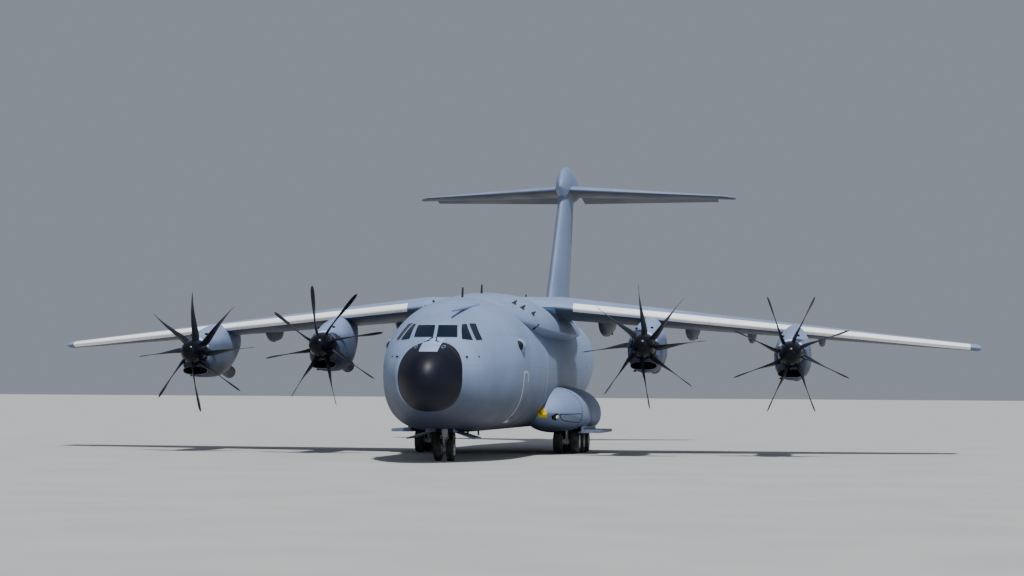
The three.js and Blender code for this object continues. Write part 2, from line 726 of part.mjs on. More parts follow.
const RUDDER = { x: [6950, 12600], along: 0.68, end: 90, pin: 30, pinReach: 90 };
const rudderHinge = (z) => {
  const { nose, chord } = sectionAt(FIN, z);
  return point(0, nose + chord * RUDDER.along, z);
};
const rudderNose = (z) => 0.25 * sectionAt(FIN, z).thick;
const finForm = loft([finLoop(FIN[0][0]), finLoop(FIN[1][0])]);
const behindHinge = ([z0, z1], ahead) =>
  plate(
    [[rudderHinge(z0).y - ahead, z0], [46000, z0], [46000, z1], [rudderHinge(z1).y - ahead, z1]],
    [-600, 600],
  );
const rudder = controlSurface(finForm, RUDDER, rudderHinge, rudderNose, behindHinge);
const fin = cut(finForm, around, rudder.taken, halfTail(GAP), mirrored(halfTail(GAP)), bullet(GAP));
show("fin", largest(fin), finish.grey);
show("rudder", rudder.moving, finish.grey);

// Main landing gear housings along the fuselage's lower sides, each with an open bay.
// Columns: station, distance out of the middle, half width, top, widest height, foot
const SPONSON = [
  [14000, 2600, 130, 1990, 1870, 1750], [14700, 2620, 680, 2500, 1850, 1350],
  [15900, 2660, 1160, 2850, 1800, 1050], [17500, 2680, 1380, 2950, 1750, 920],
  [19500, 2680, 1420, 2950, 1750, 900], [22000, 2680, 1380, 2900, 1750, 920],
  [24000, 2640, 1060, 2700, 1800, 1150], [25300, 2560, 600, 2400, 1850, 1450],
  [26000, 2480, 120, 2050, 1900, 1750],
];
const sponsonForm = (grow) =>
  loft(
    SPONSON.map(([y, x, half, top, widest, foot]) =>
      hoop(y, half + grow, top + grow, widest, foot - grow, { x, sides: 18, belly: 2.6 }),
    ),
  );
const MAIN_BAY = { x: [2400, 3800], y: [16850, 21550], roof: 2080 };
const MAIN_WHEEL = { r: 545, half: 195, track: 375, x: 3100, y: [17600, 19200, 20800], axle: 70 };
const NOSE_WHEEL = { r: 450, half: 140, track: 250, x: 0, y: [4750], axle: 55 };
const TYRE_SIDES = 14;
const onGround = ({ r }) => r * Math.cos(Math.PI / TYRE_SIDES);

const mainBay = block(MAIN_BAY.x, MAIN_BAY.y, [0, MAIN_BAY.roof]);
const sponson = largest(cut(sponsonForm(0), around, mainBay));

// The bay's door hangs out from the outer edge of the opening, on a flange up to the sponson
const doorSpan = [MAIN_BAY.y[0] + 60, MAIN_BAY.y[1] - 60];
const doorLeaf = block([3700, 4650], doorSpan, [925, 1060]);
const doorFlange = block([3760, 3900], doorSpan, [1000, 1250]);
const edgeCut = block([0, 3802], [0, LENGTH], [985, 2000]);
const mainDoor = cut(doorLeaf.add(doorFlange), sponsonForm(GAP), edgeCut);

// Two tyres with their hubs and the axle between them, turned about the axle.
// Columns: distance out from the tyre's middle in half widths, share of the tyre's radius
const TYRE = [
  [-1, 0.46], [-1, 0.82], [-0.6, 1], [0.6, 1], [1, 0.82], [1, 0.46],
];
function wheelPair({ r, half, track, x, axle }, y) {
  const tyre = (side) => TYRE.map(([out, share]) => [side * track + out * half, share * r]);
  const end = track + half - 30;
  const profile = [
    [-end, 0], [-end, axle], ...tyre(-1), [-track + half - 60, axle],
    [track - half + 60, axle], ...tyre(1), [end, axle], [end, 0],
  ];
  return turned(profile, [x, y, onGround({ r })], "X", TYRE_SIDES);
}

// Three sprung legs on one beam under the bay's roof
function mainLegs() {
  const { x, y, axle } = MAIN_WHEEL;
  const hub = onGround(MAIN_WHEEL);
  const beam = block([x - 100, x + 100], [y[0] - 500, y[2] + 300],
    [MAIN_BAY.roof - 120, MAIN_BAY.roof - GAP]);
  const legs = y.map((at) =>
    joined([
      rod(point(x, at - 60, MAIN_BAY.roof - 40), point(x, at - 20, 1200), 110, 110, 8),
      rod(point(x, at - 20, 1260), point(x, at, hub), 75, 75, 8),
      rod(point(x, at - 480, MAIN_BAY.roof - 60), point(x, at, hub + 60), 60, 60, 6),
      rod(point(x - 130, at, hub), point(x + 130, at, hub), 125),
    ]).subtract(bore(point(x - 200, at, hub), point(x + 200, at, hub), axle, TYRE_SIDES)),
  );
  return joined([beam, ...legs]);
}
for (const side of ["left", "right"]) {
  show(`sponson_${side}`, onSide(side, sponson), finish.grey);
  show(`main_gear_door_${side}`, onSide(side, largest(mainDoor)), finish.grey);
  show(`main_gear_legs_${side}`, onSide(side, mainLegs()), finish.gear);
  MAIN_WHEEL.y.forEach((y, row) => {
    const place = ["front", "middle", "rear"][row];
    show(`main_wheels_${place}_${side}`, onSide(side, wheelPair(MAIN_WHEEL, y)), finish.tyre);
  });
}

// Nose landing gear: a fixed leg, and a steered piston with the wheels' bearing
const NOSE_LEG = { r: 115, foot: 1050, piston: 75, socket: 1700 };
const [noseY] = NOSE_WHEEL.y;
const noseHub = onGround(NOSE_WHEEL);
const noseLeg = joined([
  rod(point(0, noseY, NOSE_BAY.roof - GAP), point(0, noseY, NOSE_LEG.foot), NOSE_LEG.r),
  rod(point(0, noseY, 1350), point(0, noseY + 1000, NOSE_BAY.roof - 60), 55),
  block([-200, 200], [noseY + 850, noseY + 1100], [NOSE_BAY.roof - 90, NOSE_BAY.roof - GAP]),
]).subtract(bore(point(0, noseY, 900), point(0, noseY, NOSE_LEG.socket), NOSE_LEG.piston));
show("nose_gear_leg", noseLeg, finish.gear);
const fork = joined([
  rod(point(0, noseY, NOSE_LEG.socket - GAP), point(0, noseY, noseHub), NOSE_LEG.piston),
  rod(point(0, noseY, 1020), point(0, noseY, 960), 120),
  rod(point(-95, noseY, noseHub), point(95, noseY, noseHub), 105),
  plate([[noseY - 40, 980], [noseY - 230, 760], [noseY - 40, 560]], [-35, 35]),
]).subtract(
  bore(point(-150, noseY, noseHub), point(150, noseY, noseHub), NOSE_WHEEL.axle, TYRE_SIDES),
);
show("nose_gear_fork", fork, finish.gear);
show("nose_wheels", wheelPair(NOSE_WHEEL, noseY), finish.tyre);

// Nose bay doors, hanging open to each side
const NOSE_DOOR = { y: [3720, 5520], inner: NOSE_BAY.half - GAP, edge: [1320, 870], thick: 50 };
const [edgeX, edgeZ] = NOSE_DOOR.edge;
const doorSection = [
  [NOSE_DOOR.inner - 45, 1280], [NOSE_DOOR.inner, 1280], [NOSE_DOOR.inner, 1150],
  [edgeX + 20, edgeZ + NOSE_DOOR.thick], [edgeX, edgeZ], [NOSE_DOOR.inner - 45, 1150],
];
const doorSlab = new THREE.ExtrudeGeometry(
  new THREE.Shape(doorSection.map(([x, z]) => new THREE.Vector2(x, z))),
  { depth: NOSE_DOOR.y[1] - NOSE_DOOR.y[0], bevelEnabled: false },
);
const noseDoor = solid(doorSlab.rotateX(Math.PI / 2).translate(0, NOSE_DOOR.y[1], 0));
for (const side of ["left", "right"]) {
  const clear = noseDoor.subtract(around.subtract(bay));
  show(`nose_gear_door_${side}`, onSide(side, largest(clear)), finish.grey);
}

// Engines. Columns: name, distance out, station of the propeller disc, height of its axis,
// angle of the first blade from upright, clockwise from ahead, the way the blades sweep, and
// the length of the nacelle against the inner ones
const ENGINES = [
  ["inner_left", 6920, 13100, 4660, -5.5, 1, 1],
  ["outer_left", 13040, 14600, 4380, 22.5, -1, 1.156],
  ["inner_right", -6920, 13100, 4660, -12.3, -1, 1],
  ["outer_right", -13040, 14600, 4380, -4.7, 1, 1.156],
];
// Columns: distance aft of the disc, half width, then top, widest height and foot from the axis
const NACELLE = [
  [240, 600, 590, -60, -1030], [460, 690, 720, -100, -1060], [1200, 775, 960, -100, -1110],
  [2200, 785, 1200, -100, -1090], [3100, 740, 1320, -60, -980],
  [4100, 590, 1330, 80, -660], [5200, 400, 1300, 330, -150], [6300, 170, 1240, 700, 400],
];
const SKIN = 60;
const nacelleForm = (x, disc, axis, stretch, grow) =>
  loft(
    NACELLE.map(([aft, half, top, widest, foot], k) => {
      const y = disc + (k ? aft * stretch : aft - grow);
      const size = [half + grow, axis + top + grow, axis + widest, axis + foot - grow];
      return hoop(y, ...size, { x, sides: 16, belly: 2.4 });
    }).filter((_, k) => !grow || [0, 2, 4, 6].includes(k)),
  );
const intake = (x, disc, axis) =>
  loft(
    [[230, 550, -630, -985], [900, 400, -560, -1010]].map(([aft, half, top, foot]) =>
      hoop(disc + aft, half, axis + top, axis + (top + foot) / 2, axis + foot, { x, sides: 8 }),
    ),
  );
const ENGINE = { r: 430, length: 2900, shaft: 120, shaftEnd: 1000 };
const EXHAUST = { from: [3500, -520], to: [5000, -840], r: 290, wall: 40 };

// The propeller's blades, feathered. Columns: distance from the axis, chord, thickness,
// twist of the leading edge away from the way the propeller turns, sweep aft, lean back
const BLADE = [
  [330, 360, 170, 32, -30, 110], [730, 450, 100, 25, -40, 120], [1150, 440, 62, 17, -30, 90],
  [1600, 410, 40, 8, 20, 50], [2200, 320, 22, -2, 170, 15], [2660, 60, 10, -6, 370, 0],
];
const BLADES = 8;
const LENS = [[-0.5, 0], [-0.05, 0.5], [0.5, 0], [-0.05, -0.5]];
// Columns: distance aft of the disc, radius
const SPINNER = [
  [-970, 0], [-930, 190], [-780, 350], [-520, 470], [-170, 545], [180, 570], [180, 0],
];
function propeller(x, disc, axis, first, sweepWay) {
  const blade = loft(
    BLADE.map(([out, chord, thick, twist, aft, lean]) => {
      const turn = THREE.MathUtils.degToRad(twist);
      const [c, s] = [Math.cos(turn), Math.sin(turn)];
      return LENS.map(([along, up]) => {
        const [a, b] = [along * chord, up * thick];
        return point(sweepWay * (a * s + b * c + lean), aft + a * c - b * s, out);
      });
    }),
  );
  const turns = Array.from({ length: BLADES }, (_, k) =>
    blade.rotate([0, first + (k * 360) / BLADES, 0]),
  );
  const spinner = turned(SPINNER, [0, 0, 0], "Y", 16);
  const shaft = rod(point(0, 0, 0), point(0, ENGINE.shaftEnd, 0), ENGINE.shaft);
  return joined([spinner, shaft, ...turns]).translate([x, disc, axis]);
}

for (const [name, x, disc, axis, first, sweepWay, stretch] of ENGINES) {
  const wingHere = x > 0 ? wingForm(GAP) : mirrored(wingForm(GAP));
  const front = disc + NACELLE[0][0];
  const [from, to] = [EXHAUST.from, EXHAUST.to].map(([aft, up]) =>
    point(x, disc + aft * stretch, axis + up),
  );
  const beyond = to.clone().add(to.clone().sub(from).multiplyScalar(0.05));
  const hollow = nacelleForm(x, disc, axis, stretch, -SKIN);
  const shell = cut(
    nacelleForm(x, disc, axis, stretch, 0).add(rod(from, to, EXHAUST.r)),
    hollow,
    intake(x, disc, axis),
    rod(from, beyond, EXHAUST.r - EXHAUST.wall),
    bore(point(x, front - 50, axis), point(x, front + 200, axis), ENGINE.shaft),
    wingHere,
    onSide(x > 0 ? "left" : "right", flapRegion),
  );
  show(`nacelle_${name}`, largest(shell), finish.grey);
  const start = front + SKIN + GAP;
  const core = rod(point(x, start, axis), point(x, start + ENGINE.length, axis), ENGINE.r);
  const shaftEnd = disc + ENGINE.shaftEnd;
  const shaftHole = bore(point(x, start - 50, axis), point(x, shaftEnd + GAP, axis), ENGINE.shaft);
  show(`engine_${name}`, core.subtract(shaftHole), finish.engine);
  show(`propeller_${name}`, propeller(x, disc, axis, first, sweepWay), finish.blade);
}

// Refuelling probe, on the left of the cockpit roof
const PROBE = { tip: [500, 3450, 5830], root: [900, 6200, 6130], r: [48, 85] };
const probe = rod(point(...PROBE.tip), point(...PROBE.root), PROBE.r[0], PROBE.r[1], 12);
show("refuelling_probe", largest(probe.subtract(around)), finish.grey);

export default aeroplane;
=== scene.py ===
"""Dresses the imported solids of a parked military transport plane.

Sizes below are those of the full-size aeroplane in millimetres, as in the part's source: x is
out to its left, y is the station aft of the nose tip and z is the height above the ground.
at() turns them into the half-size model's metres.
"""

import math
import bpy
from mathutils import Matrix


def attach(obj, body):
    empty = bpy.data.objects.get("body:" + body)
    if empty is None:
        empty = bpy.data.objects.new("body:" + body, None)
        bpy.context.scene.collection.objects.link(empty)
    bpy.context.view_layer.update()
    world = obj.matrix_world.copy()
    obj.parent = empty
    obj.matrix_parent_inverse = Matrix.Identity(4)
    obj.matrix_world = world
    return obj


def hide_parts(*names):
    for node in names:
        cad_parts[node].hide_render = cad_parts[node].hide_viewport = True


bl_info = {
    "name": "Military transport plane",
    "version": (1, 0, 0),
    "blender": (4, 5, 0),
    "location": "3D View > Sidebar > Transport plane",
    "description": "Smooth skins, fittings and finishes for the packed transport plane",
    "category": "Object",
}

import bmesh
import bpy
import numpy as np
from bpy.props import FloatProperty, FloatVectorProperty, PointerProperty
from bpy.types import Operator, Panel, PropertyGroup
from mathutils import Matrix, Vector

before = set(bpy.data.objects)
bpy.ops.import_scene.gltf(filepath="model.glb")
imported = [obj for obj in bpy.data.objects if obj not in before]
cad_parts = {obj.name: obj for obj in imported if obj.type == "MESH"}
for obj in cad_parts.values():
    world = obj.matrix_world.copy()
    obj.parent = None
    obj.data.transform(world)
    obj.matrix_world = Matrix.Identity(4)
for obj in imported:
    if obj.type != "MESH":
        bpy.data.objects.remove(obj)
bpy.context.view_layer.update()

SCALE = 0.0005
HALF_LENGTH = 22550
WALL = 140
PIN_GAP = 0.8
RUNNING_GAP = 14
MERGE = 1e-6
FAR_AFT = 46000
WING_HEIGHTS = (3500, 8000)
SIDES = ((1, "left"), (-1, "right"))
METAL, COMPOSITE = "airframe_metal", "airframe_composite"
CUT, KEEP, JOIN = "DIFFERENCE", "INTERSECT", "UNION"

# Tables shared with the part's source

# Columns: station, half width, crown, widest height, keel, fullness of the belly
FUSELAGE = [
    (0, 60, 3210, 3150, 3090, 2), (50, 270, 3420, 3150, 2900, 2),
    (200, 520, 3700, 3155, 2660, 2), (500, 800, 4010, 3170, 2370, 2.05),
    (1000, 1120, 4310, 3200, 2040, 2.1), (1600, 1420, 4540, 3250, 1760, 2.25),
    (2500, 1790, 4780, 3330, 1470, 2.5), (2950, 1950, 5290, 3370, 1370, 2.6),
    (3600, 2160, 5600, 3450, 1265, 2.7), (4300, 2365, 5830, 3510, 1180, 2.8),
    (5000, 2530, 6030, 3570, 1130, 2.8), (6000, 2680, 6270, 3650, 1105, 2.8),
    (7200, 2780, 6460, 3710, 1100, 2.8), (8700, 2820, 6550, 3730, 1100, 2.8),
    (24200, 2820, 6550, 3730, 1100, 2.8), (26200, 2815, 6550, 3770, 1330, 2.8),
    (28600, 2745, 6550, 3900, 1960, 2.8), (31200, 2580, 6550, 4140, 2730, 2.8),
    (33800, 2270, 6520, 4420, 3500, 2.8), (36400, 1830, 6460, 4730, 4180, 2.8),
    (39000, 1300, 6370, 5070, 4760, 2.8), (41400, 740, 6210, 5400, 5160, 2.8),
    (42900, 330, 6010, 5640, 5420, 2.8), (43300, 90, 5830, 5730, 5640, 2.8),
]
NOSE_END, STRAIGHT_END, CENTRE_END, TAIL_END = 9000, 24200, 25300, 43300
RADOME_TOP, RADOME_FOOT = (1610, 4600), (1110, 1950)
WINDOWS = {
    "front": [(45, 4785), (865, 4785), (785, 5280), (45, 5280)],
    "side_front": [(1020, 4705), (1430, 4670), (1040, 5350), (890, 5325)],
    "side_rear": [(1520, 4670), (1705, 4700), (1320, 5365), (1105, 5365)],
}
WINDOW_ROUND = 45
CREW_DOOR = {"y": (7150, 7980), "z": (1680, 3460), "round": 190}
CREW_HINGE = {"x": 2195, "z": 1738, "r": 32}
PARA_DOOR = {"y": (26300, 27250), "z": (2000, 3880), "round": 150}
NOSE_BAY = {"half": 560, "y": (3650, 6150), "roof": 2150}
RAMP = {"half": 1800, "front": 25345, "tip": 30700, "top": 2900, "y": 25260, "z": 1290}
RAMP_TIP_KEEL = 2582
DOOR = {"tip": 35500, "front_half": 1800, "rear_half": 1400, "y": 35430, "z": 4092}
FLOOR = 1700

# Columns: share of the chord from the leading edge, share of the full thickness
AEROFOIL = [
    (0, 0), (0.01, 0.23), (0.05, 0.52), (0.16, 0.86), (0.33, 1), (0.5, 0.87), (0.72, 0.55),
    (1, 0.03),
]
# Columns: distance out, station and height of the leading edge, chord, thickness, lean
WING = ((2900, 14944, 6380, 6900, 1010, 300), (21200, 20900, 4760, 2500, 300, 40))
TAILPLANE = ((0, 38500, 13440, 4900, 560, 60), (8750, 43500, 13350, 1600, 170, 10))
FIN = ((6000, 32710, 0, 8000, 860, 0), (13500, 38660, 0, 4420, 620, 0))
CAMBER = 0.018
FLAP = {"x": (3200, 14600), "drops": (810, 400), "along": 0.72, "knuckle": 55}
FLAP_ROOM = (2890, FLAP["x"][1] + 28)
# Columns: distance out, half width, length as a share
FAIRINGS = [(4600, 330, 1), (8400, 300, 0.92), (11040, 190, 0.76), (14150, 170, 0.66)]
# Columns: distance aft of the hinge, share of the half width, share of the depth
POD = [
    (-2700, 0.18, 0.28), (-2000, 0.62, 0.72), (-1200, 0.92, 1.08), (-500, 1, 1.14), (0, 1, 1),
    (900, 0.92, 0.9), (1700, 0.25, 0.3),
]
AILERON = {"x": (14900, 20500), "along": 0.74, "pin": 30}
ELEVATOR = {"x": (560, 7800), "along": 0.68, "pin": 24, "droop": 15}
RUDDER = {"x": (6950, 12600), "along": 0.68, "pin": 30}
# Columns: station, half width, top, widest height, bottom
ROOT_FAIRING = [
    (9300, 900, 6560, 6000, 5500), (10600, 2050, 6660, 5650, 5150),
    (12300, 2700, 6820, 5420, 4860), (14200, 3010, 6960, 5320, 4740),
    (18500, 3080, 7000, 5300, 4700), (21800, 3000, 6940, 5300, 4720),
    (24500, 2760, 6800, 5400, 4860), (27000, 2150, 6650, 5600, 5150),
    (28800, 1200, 6560, 5900, 5600),
]
# Columns: station, half width, top, middle, foot
BULLET = [
    (37500, 30, 13530, 13500, 13470), (37900, 220, 14010, 13500, 13160),
    (38700, 380, 14500, 13500, 12960), (39800, 450, 14700, 13500, 12860),
    (42000, 400, 14520, 13500, 12960), (43800, 240, 14020, 13500, 13220),
    (44600, 40, 13610, 13520, 13460),
]
# Columns: station, distance out of the middle, half width, top, widest height, foot
SPONSON = [
    (14000, 2600, 130, 1990, 1870, 1750), (14700, 2620, 680, 2500, 1850, 1600),
    (15900, 2660, 1160, 2850, 1800, 1210), (17500, 2680, 1380, 2950, 1750, 920),
    (19500, 2680, 1420, 2950, 1750, 900), (22000, 2680, 1380, 2900, 1750, 920),
    (24000, 2640, 1060, 2700, 1800, 1150), (25300, 2560, 600, 2400, 1850, 1450),
    (26000, 2480, 120, 2050, 1900, 1750),
]
MAIN_BAY = {"x": (2400, 3800), "y": (16850, 21550), "roof": 2080}
MAIN_WHEEL = {"r": 545, "half": 195, "track": 375, "x": 3100, "axle": 70}
NOSE_WHEEL = {"r": 450, "half": 140, "track": 250, "x": 0, "axle": 55}
WHEEL_STATIONS = {"front": 17600, "middle": 19200, "rear": 20800}
NOSE_WHEEL_STATION = 4750
TYRE_SIDES = 14
# Columns: name, distance out, station of the disc, height of its axis, angle of the first
# blade, the way the blades sweep, their extra pitch, length of the nacelle against the inner ones
ENGINES = [
    ("inner_left", 6920, 13100, 4660, -5.5, 1, 2, 1),
    ("outer_left", 13040, 14600, 4380, 22.5, -1, -6, 1.156),
    ("inner_right", -6920, 13100, 4660, -12.3, -1, -11, 1),
    ("outer_right", -13040, 14600, 4380, -4.7, 1, 2, 1.156),
]
# Columns: distance aft of the disc, half width, then top, widest height, foot from the axis
NACELLE = [
    (240, 575, 565, -60, -1008), (252, 600, 590, -60, -1032), (460, 690, 720, -100, -1075),
    (1200, 775, 960, -100, -1110), (2200, 785, 1200, -100, -1090),
    (3100, 740, 1320, -60, -980), (4100, 590, 1330, 80, -660), (5200, 400, 1300, 330, -150),
    (6300, 170, 1240, 700, 400),
]
NACELLE_FRONT, NACELLE_COLLAR, NACELLE_TAIL = 240, 460, 6300
EXHAUST = ((3500, -520), (5000, -840), 290)
# Columns: distance from the axis, chord, thickness, twist, sweep aft, lean back
BLADE = [
    (330, 360, 170, 32, -30, 110), (730, 450, 100, 25, -40, 120),
    (1150, 440, 62, 17, -30, 90), (1600, 420, 40, 7, 20, 50), (2200, 350, 22, -5, 170, 15),
    (2500, 250, 16, -9, 280, 5), (2660, 70, 10, -11, 370, 0),
]
BLADES = 8
# Columns: distance aft of the disc, radius
SPINNER = [(-970, 0), (-930, 190), (-780, 350), (-520, 470), (-170, 545), (180, 570)]
PROBE = ((500, 3450, 5830), (900, 6200, 6130))

# Tables of the trim

# Columns: place along the axle and from it, as shares of the tyre's half width and radius
TYRE_WALL = [
    (-1, 0.55), (-1.0, 0.66), (-0.99, 0.78), (-0.93, 0.88), (-0.82, 0.95), (-0.66, 0.985),
    (-0.5, 1), (-0.36, 1), (-0.34, 0.975), (-0.28, 0.975), (-0.26, 1), (-0.04, 1),
    (-0.02, 0.975), (0.02, 0.975), (0.04, 1),
]
# Columns: place along the dome's axis and from it, as shares of its radius
DOME = [
    (-1.1, 0), (-1.06, 0.25), (-0.92, 0.5), (-0.6, 0.8), (0, 1), (1.2, 0.82), (2.4, 0.3),
    (2.9, 0.05), (2.9, 0),
]
DOME_EYE = [(-1.16, 0), (-1.14, 0.24), (-1.0, 0.5), (-0.82, 0.66), (-0.72, 0.7), (-0.7, 0)]
DOME_PLACE = (2560, 7050, 4540)
VANES = ((1660, 11280, 6350), (1990, 11340, 6160), (2340, 11820, 5930), (2470, 11820, 5420))
VANE_ROOT_HEIGHT = 3900
LAMP_PLACE, LAMP_WAY, LAMP_SHIFT = (3040, 14455, 1650), (0.75, -0.56, -0.35), (33, 44, 0)


# Shapes


def at(x, y, z):
    """A place in full-size millimetres as a point in the model's metres."""
    return Vector((x * SCALE, (y - HALF_LENGTH) * SCALE, z * SCALE))


class Smooth:
    """Rows of values that run smoothly through a table, without swinging past its rows."""

    def __init__(self, rows):
        self.at = np.array([row[0] for row in rows], float)
        self.rows = np.array([row[1:] for row in rows], float)
        step = np.diff(self.at)[:, None]
        rise = np.diff(self.rows, axis=0) / step
        before, after = rise[:-1], rise[1:]
        same = before * after > 0
        w0, w1 = 2 * step[1:] + step[:-1], step[1:] + 2 * step[:-1]
        mean = (w0 + w1) / (w0 / np.where(same, before, 1) + w1 / np.where(same, after, 1))
        self.slope = np.concatenate([rise[:1], np.where(same, mean, 0), rise[-1:]])

    def __call__(self, place):
        k = int(np.clip(np.searchsorted(self.at, place) - 1, 0, len(self.at) - 2))
        step = self.at[k + 1] - self.at[k]
        t = (place - self.at[k]) / step
        ends = (2 * t**3 - 3 * t**2 + 1) * self.rows[k] + (3 * t**2 - 2 * t**3) * self.rows[k + 1]
        tangents = (t**3 - 2 * t**2 + t) * self.slope[k] + (t**3 - t**2) * self.slope[k + 1]
        return ends + tangents * step


def steps(start, end, count):
    """Evenly spaced numbers from start to end."""
    return [start + (end - start) * k / count for k in range(count + 1)]


def as_mesh(bm):
    mesh = bpy.data.meshes.new("shape")
    bm.to_mesh(mesh)
    bm.free()
    return mesh


def closed(bm):
    """The mesh with its open ends filled and its faces pointing outwards."""
    bmesh.ops.holes_fill(bm, edges=[edge for edge in bm.edges if edge.is_boundary], sides=0)
    bmesh.ops.recalc_face_normals(bm, faces=bm.faces)
    return as_mesh(bm)


def loft(loops):
    """A closed skin through loops of points: a grid whose points move to their places."""
    around, rows = len(loops[0]), len(loops)
    bm = bmesh.new()
    bmesh.ops.create_grid(bm, x_segments=around, y_segments=rows - 1, size=1)
    for vert in bm.verts:
        i = round((vert.co.x + 1) / 2 * around) % around
        j = round((vert.co.y + 1) / 2 * (rows - 1))
        vert.co = loops[j][i]
    bmesh.ops.remove_doubles(bm, verts=bm.verts, dist=MERGE)
    return closed(bm)


def hoop(station, half, top, widest, foot, x=0, sides=96, belly=2.8):
    """A closed loop round a body: an ellipse above its widest height, fuller below it."""
    loop = []
    for k in range(sides):
        c, s = math.cos(k / sides * math.tau), math.sin(k / sides * math.tau)
        power = 2 / belly if s < 0 else 1
        out = math.copysign(abs(c) ** power, c) * half
        up = abs(s) ** power * (foot - widest if s < 0 else top - widest)
        loop.append(at(x + out, station, widest + up))
    return loop


def tube(rows, **section):
    """A closed skin through hoops, given as rows of what hoop() takes first."""
    return loft([hoop(*row, **section) for row in rows])


FUSELAGE_LINES = Smooth([(math.sqrt(row[0]), *row[1:]) for row in FUSELAGE])


def fuselage(offset=0, span=(0, TAIL_END)):
    """The fuselage's form between two stations, grown or shrunk by an offset."""
    fine = [t * t for t in steps(0, math.sqrt(NOSE_END), 40)]
    fine += steps(NOSE_END, STRAIGHT_END, 12) + steps(STRAIGHT_END, TAIL_END, 40)
    inner = [y for y in fine if span[0] + 20 < y < span[1] - 20]
    loops = []
    for y in [span[0], *inner, span[1]]:
        half, crown, widest, keel, belly = FUSELAGE_LINES(math.sqrt(y))
        if half + offset > 40:
            size = half + offset, crown + offset, widest, keel - offset
            loops.append(hoop(y, *size, belly=belly))
    return loft(loops)


def on_nose(x, y, lift=0):
    """A point above the fuselage's skin at a place seen from above."""
    half, crown, widest, _, _ = FUSELAGE_LINES(math.sqrt(y))
    return (x, y, float(widest + (crown - widest) * math.sqrt(1 - (x / half) ** 2)) + lift)


def skin_layer(outer, inner, span):
    """A closed layer of the fuselage's skin between two offsets."""
    reach = (max(span[0] - 300, 0), span[1] + 300)
    return shaped(fuselage(outer, span), (CUT, fuselage(inner, reach)))


def prism(outline, across, span):
    """An outline pushed along an axis. Its corners are (a, b) or (a, b, rounding)."""

    def place(a, b, along):
        return at(*{"x": (along, a, b), "y": (a, along, b), "z": (a, b, along)}[across])

    bm = bmesh.new()
    corners = [bm.verts.new(place(*corner[:2], span[0])) for corner in outline]
    bm.faces.new(corners)
    for vert, corner in zip(corners, outline):
        if len(corner) > 2:
            bmesh.ops.bevel(
                bm, geom=[vert], offset=corner[2] * SCALE, offset_type="OFFSET", segments=6,
                profile=0.5, affect="VERTICES", material=-1,
            )
    pushed = bmesh.ops.extrude_face_region(bm, geom=bm.faces[:])
    far = [each for each in pushed["geom"] if isinstance(each, bmesh.types.BMVert)]
    bmesh.ops.translate(bm, verts=far, vec=place(0, 0, span[1]) - place(0, 0, span[0]))
    return closed(bm)


def box(x, y, z):
    return prism([(x[0], y[0]), (x[1], y[0]), (x[1], y[1]), (x[0], y[1])], "z", z)


def rod(start, end, r0, r1=None, sides=32):
    """A round bar between two points in full-size millimetres."""
    a, b = at(*start), at(*end)
    bm = bmesh.new()
    turn = Vector((0, 0, 1)).rotation_difference(b - a).to_matrix().to_4x4()
    bmesh.ops.create_cone(
        bm, cap_ends=True, segments=sides, radius1=r0 * SCALE,
        radius2=(r0 if r1 is None else r1) * SCALE, depth=(b - a).length,
        matrix=Matrix.Translation((a + b) / 2) @ turn,
    )
    return as_mesh(bm)


def turned(profile, centre, axis="y", sides=48):
    """A profile of (place along the axis, radius) turned about an axis through a centre."""
    bm = bmesh.new()
    x, y, z = centre
    points = [(x, y + a, z + r) if axis == "y" else (x + a, y, z + r) for a, r in profile]
    verts = [bm.verts.new(at(*point)) for point in points]
    edges = [bm.edges.new(pair) for pair in zip(verts, verts[1:])]
    bmesh.ops.spin(
        bm, geom=verts + edges, cent=at(*centre), angle=math.tau, steps=sides, use_merge=True,
        axis=(0, 1, 0) if axis == "y" else (1, 0, 0),
    )
    bmesh.ops.remove_doubles(bm, verts=bm.verts, dist=MERGE)
    bmesh.ops.recalc_face_normals(bm, faces=bm.faces)
    return as_mesh(bm)


def shaped(start, *jobs):
    """Cuts, keeps or joins: each job is CUT, KEEP or JOIN and the meshes it takes, in order."""
    scene = bpy.context.scene.collection
    base = bpy.data.objects.new("work", start)
    scene.objects.link(base)
    held = [base]
    for operation, *tools in jobs:
        for tool in tools:
            other = bpy.data.objects.new("tool", tool)
            scene.objects.link(other)
            held.append(other)
            step = base.modifiers.new(operation, "BOOLEAN")
            step.operation, step.object, step.solver = operation, other, "MANIFOLD"
    depsgraph = bpy.context.evaluated_depsgraph_get()
    result = bpy.data.meshes.new_from_object(base.evaluated_get(depsgraph))
    for each in held:
        mesh = each.data
        bpy.data.objects.remove(each)
        if not mesh.users:
            bpy.data.meshes.remove(mesh)
    if not result.polygons:
        raise RuntimeError(f"nothing is left after {[job[0] for job in jobs]}")
    result.materials.clear()
    return result


def several(*meshes):
    """Meshes put in one, side by side, with their materials kept by number."""
    bm = bmesh.new()
    for mesh in meshes:
        bm.from_mesh(mesh)
    return as_mesh(bm)


def numbered(mesh, number):
    """The same mesh with all its faces in another of the piece's materials."""
    mesh.polygons.foreach_set("material_index", [number] * len(mesh.polygons))
    return mesh


def moved(mesh, matrix):
    """A copy moved by a matrix, right side out also where that mirrors it."""
    bm = bmesh.new()
    bm.from_mesh(mesh)
    bmesh.ops.transform(bm, matrix=matrix, verts=bm.verts)
    if matrix.is_negative:
        bmesh.ops.reverse_faces(bm, faces=bm.faces)
    return as_mesh(bm)


def on_side(side, mesh):
    """A copy on the left as it is, or mirrored across the aeroplane's middle."""
    return mesh.copy() if side > 0 else moved(mesh, Matrix.Diagonal((-1, 1, 1, 1)))


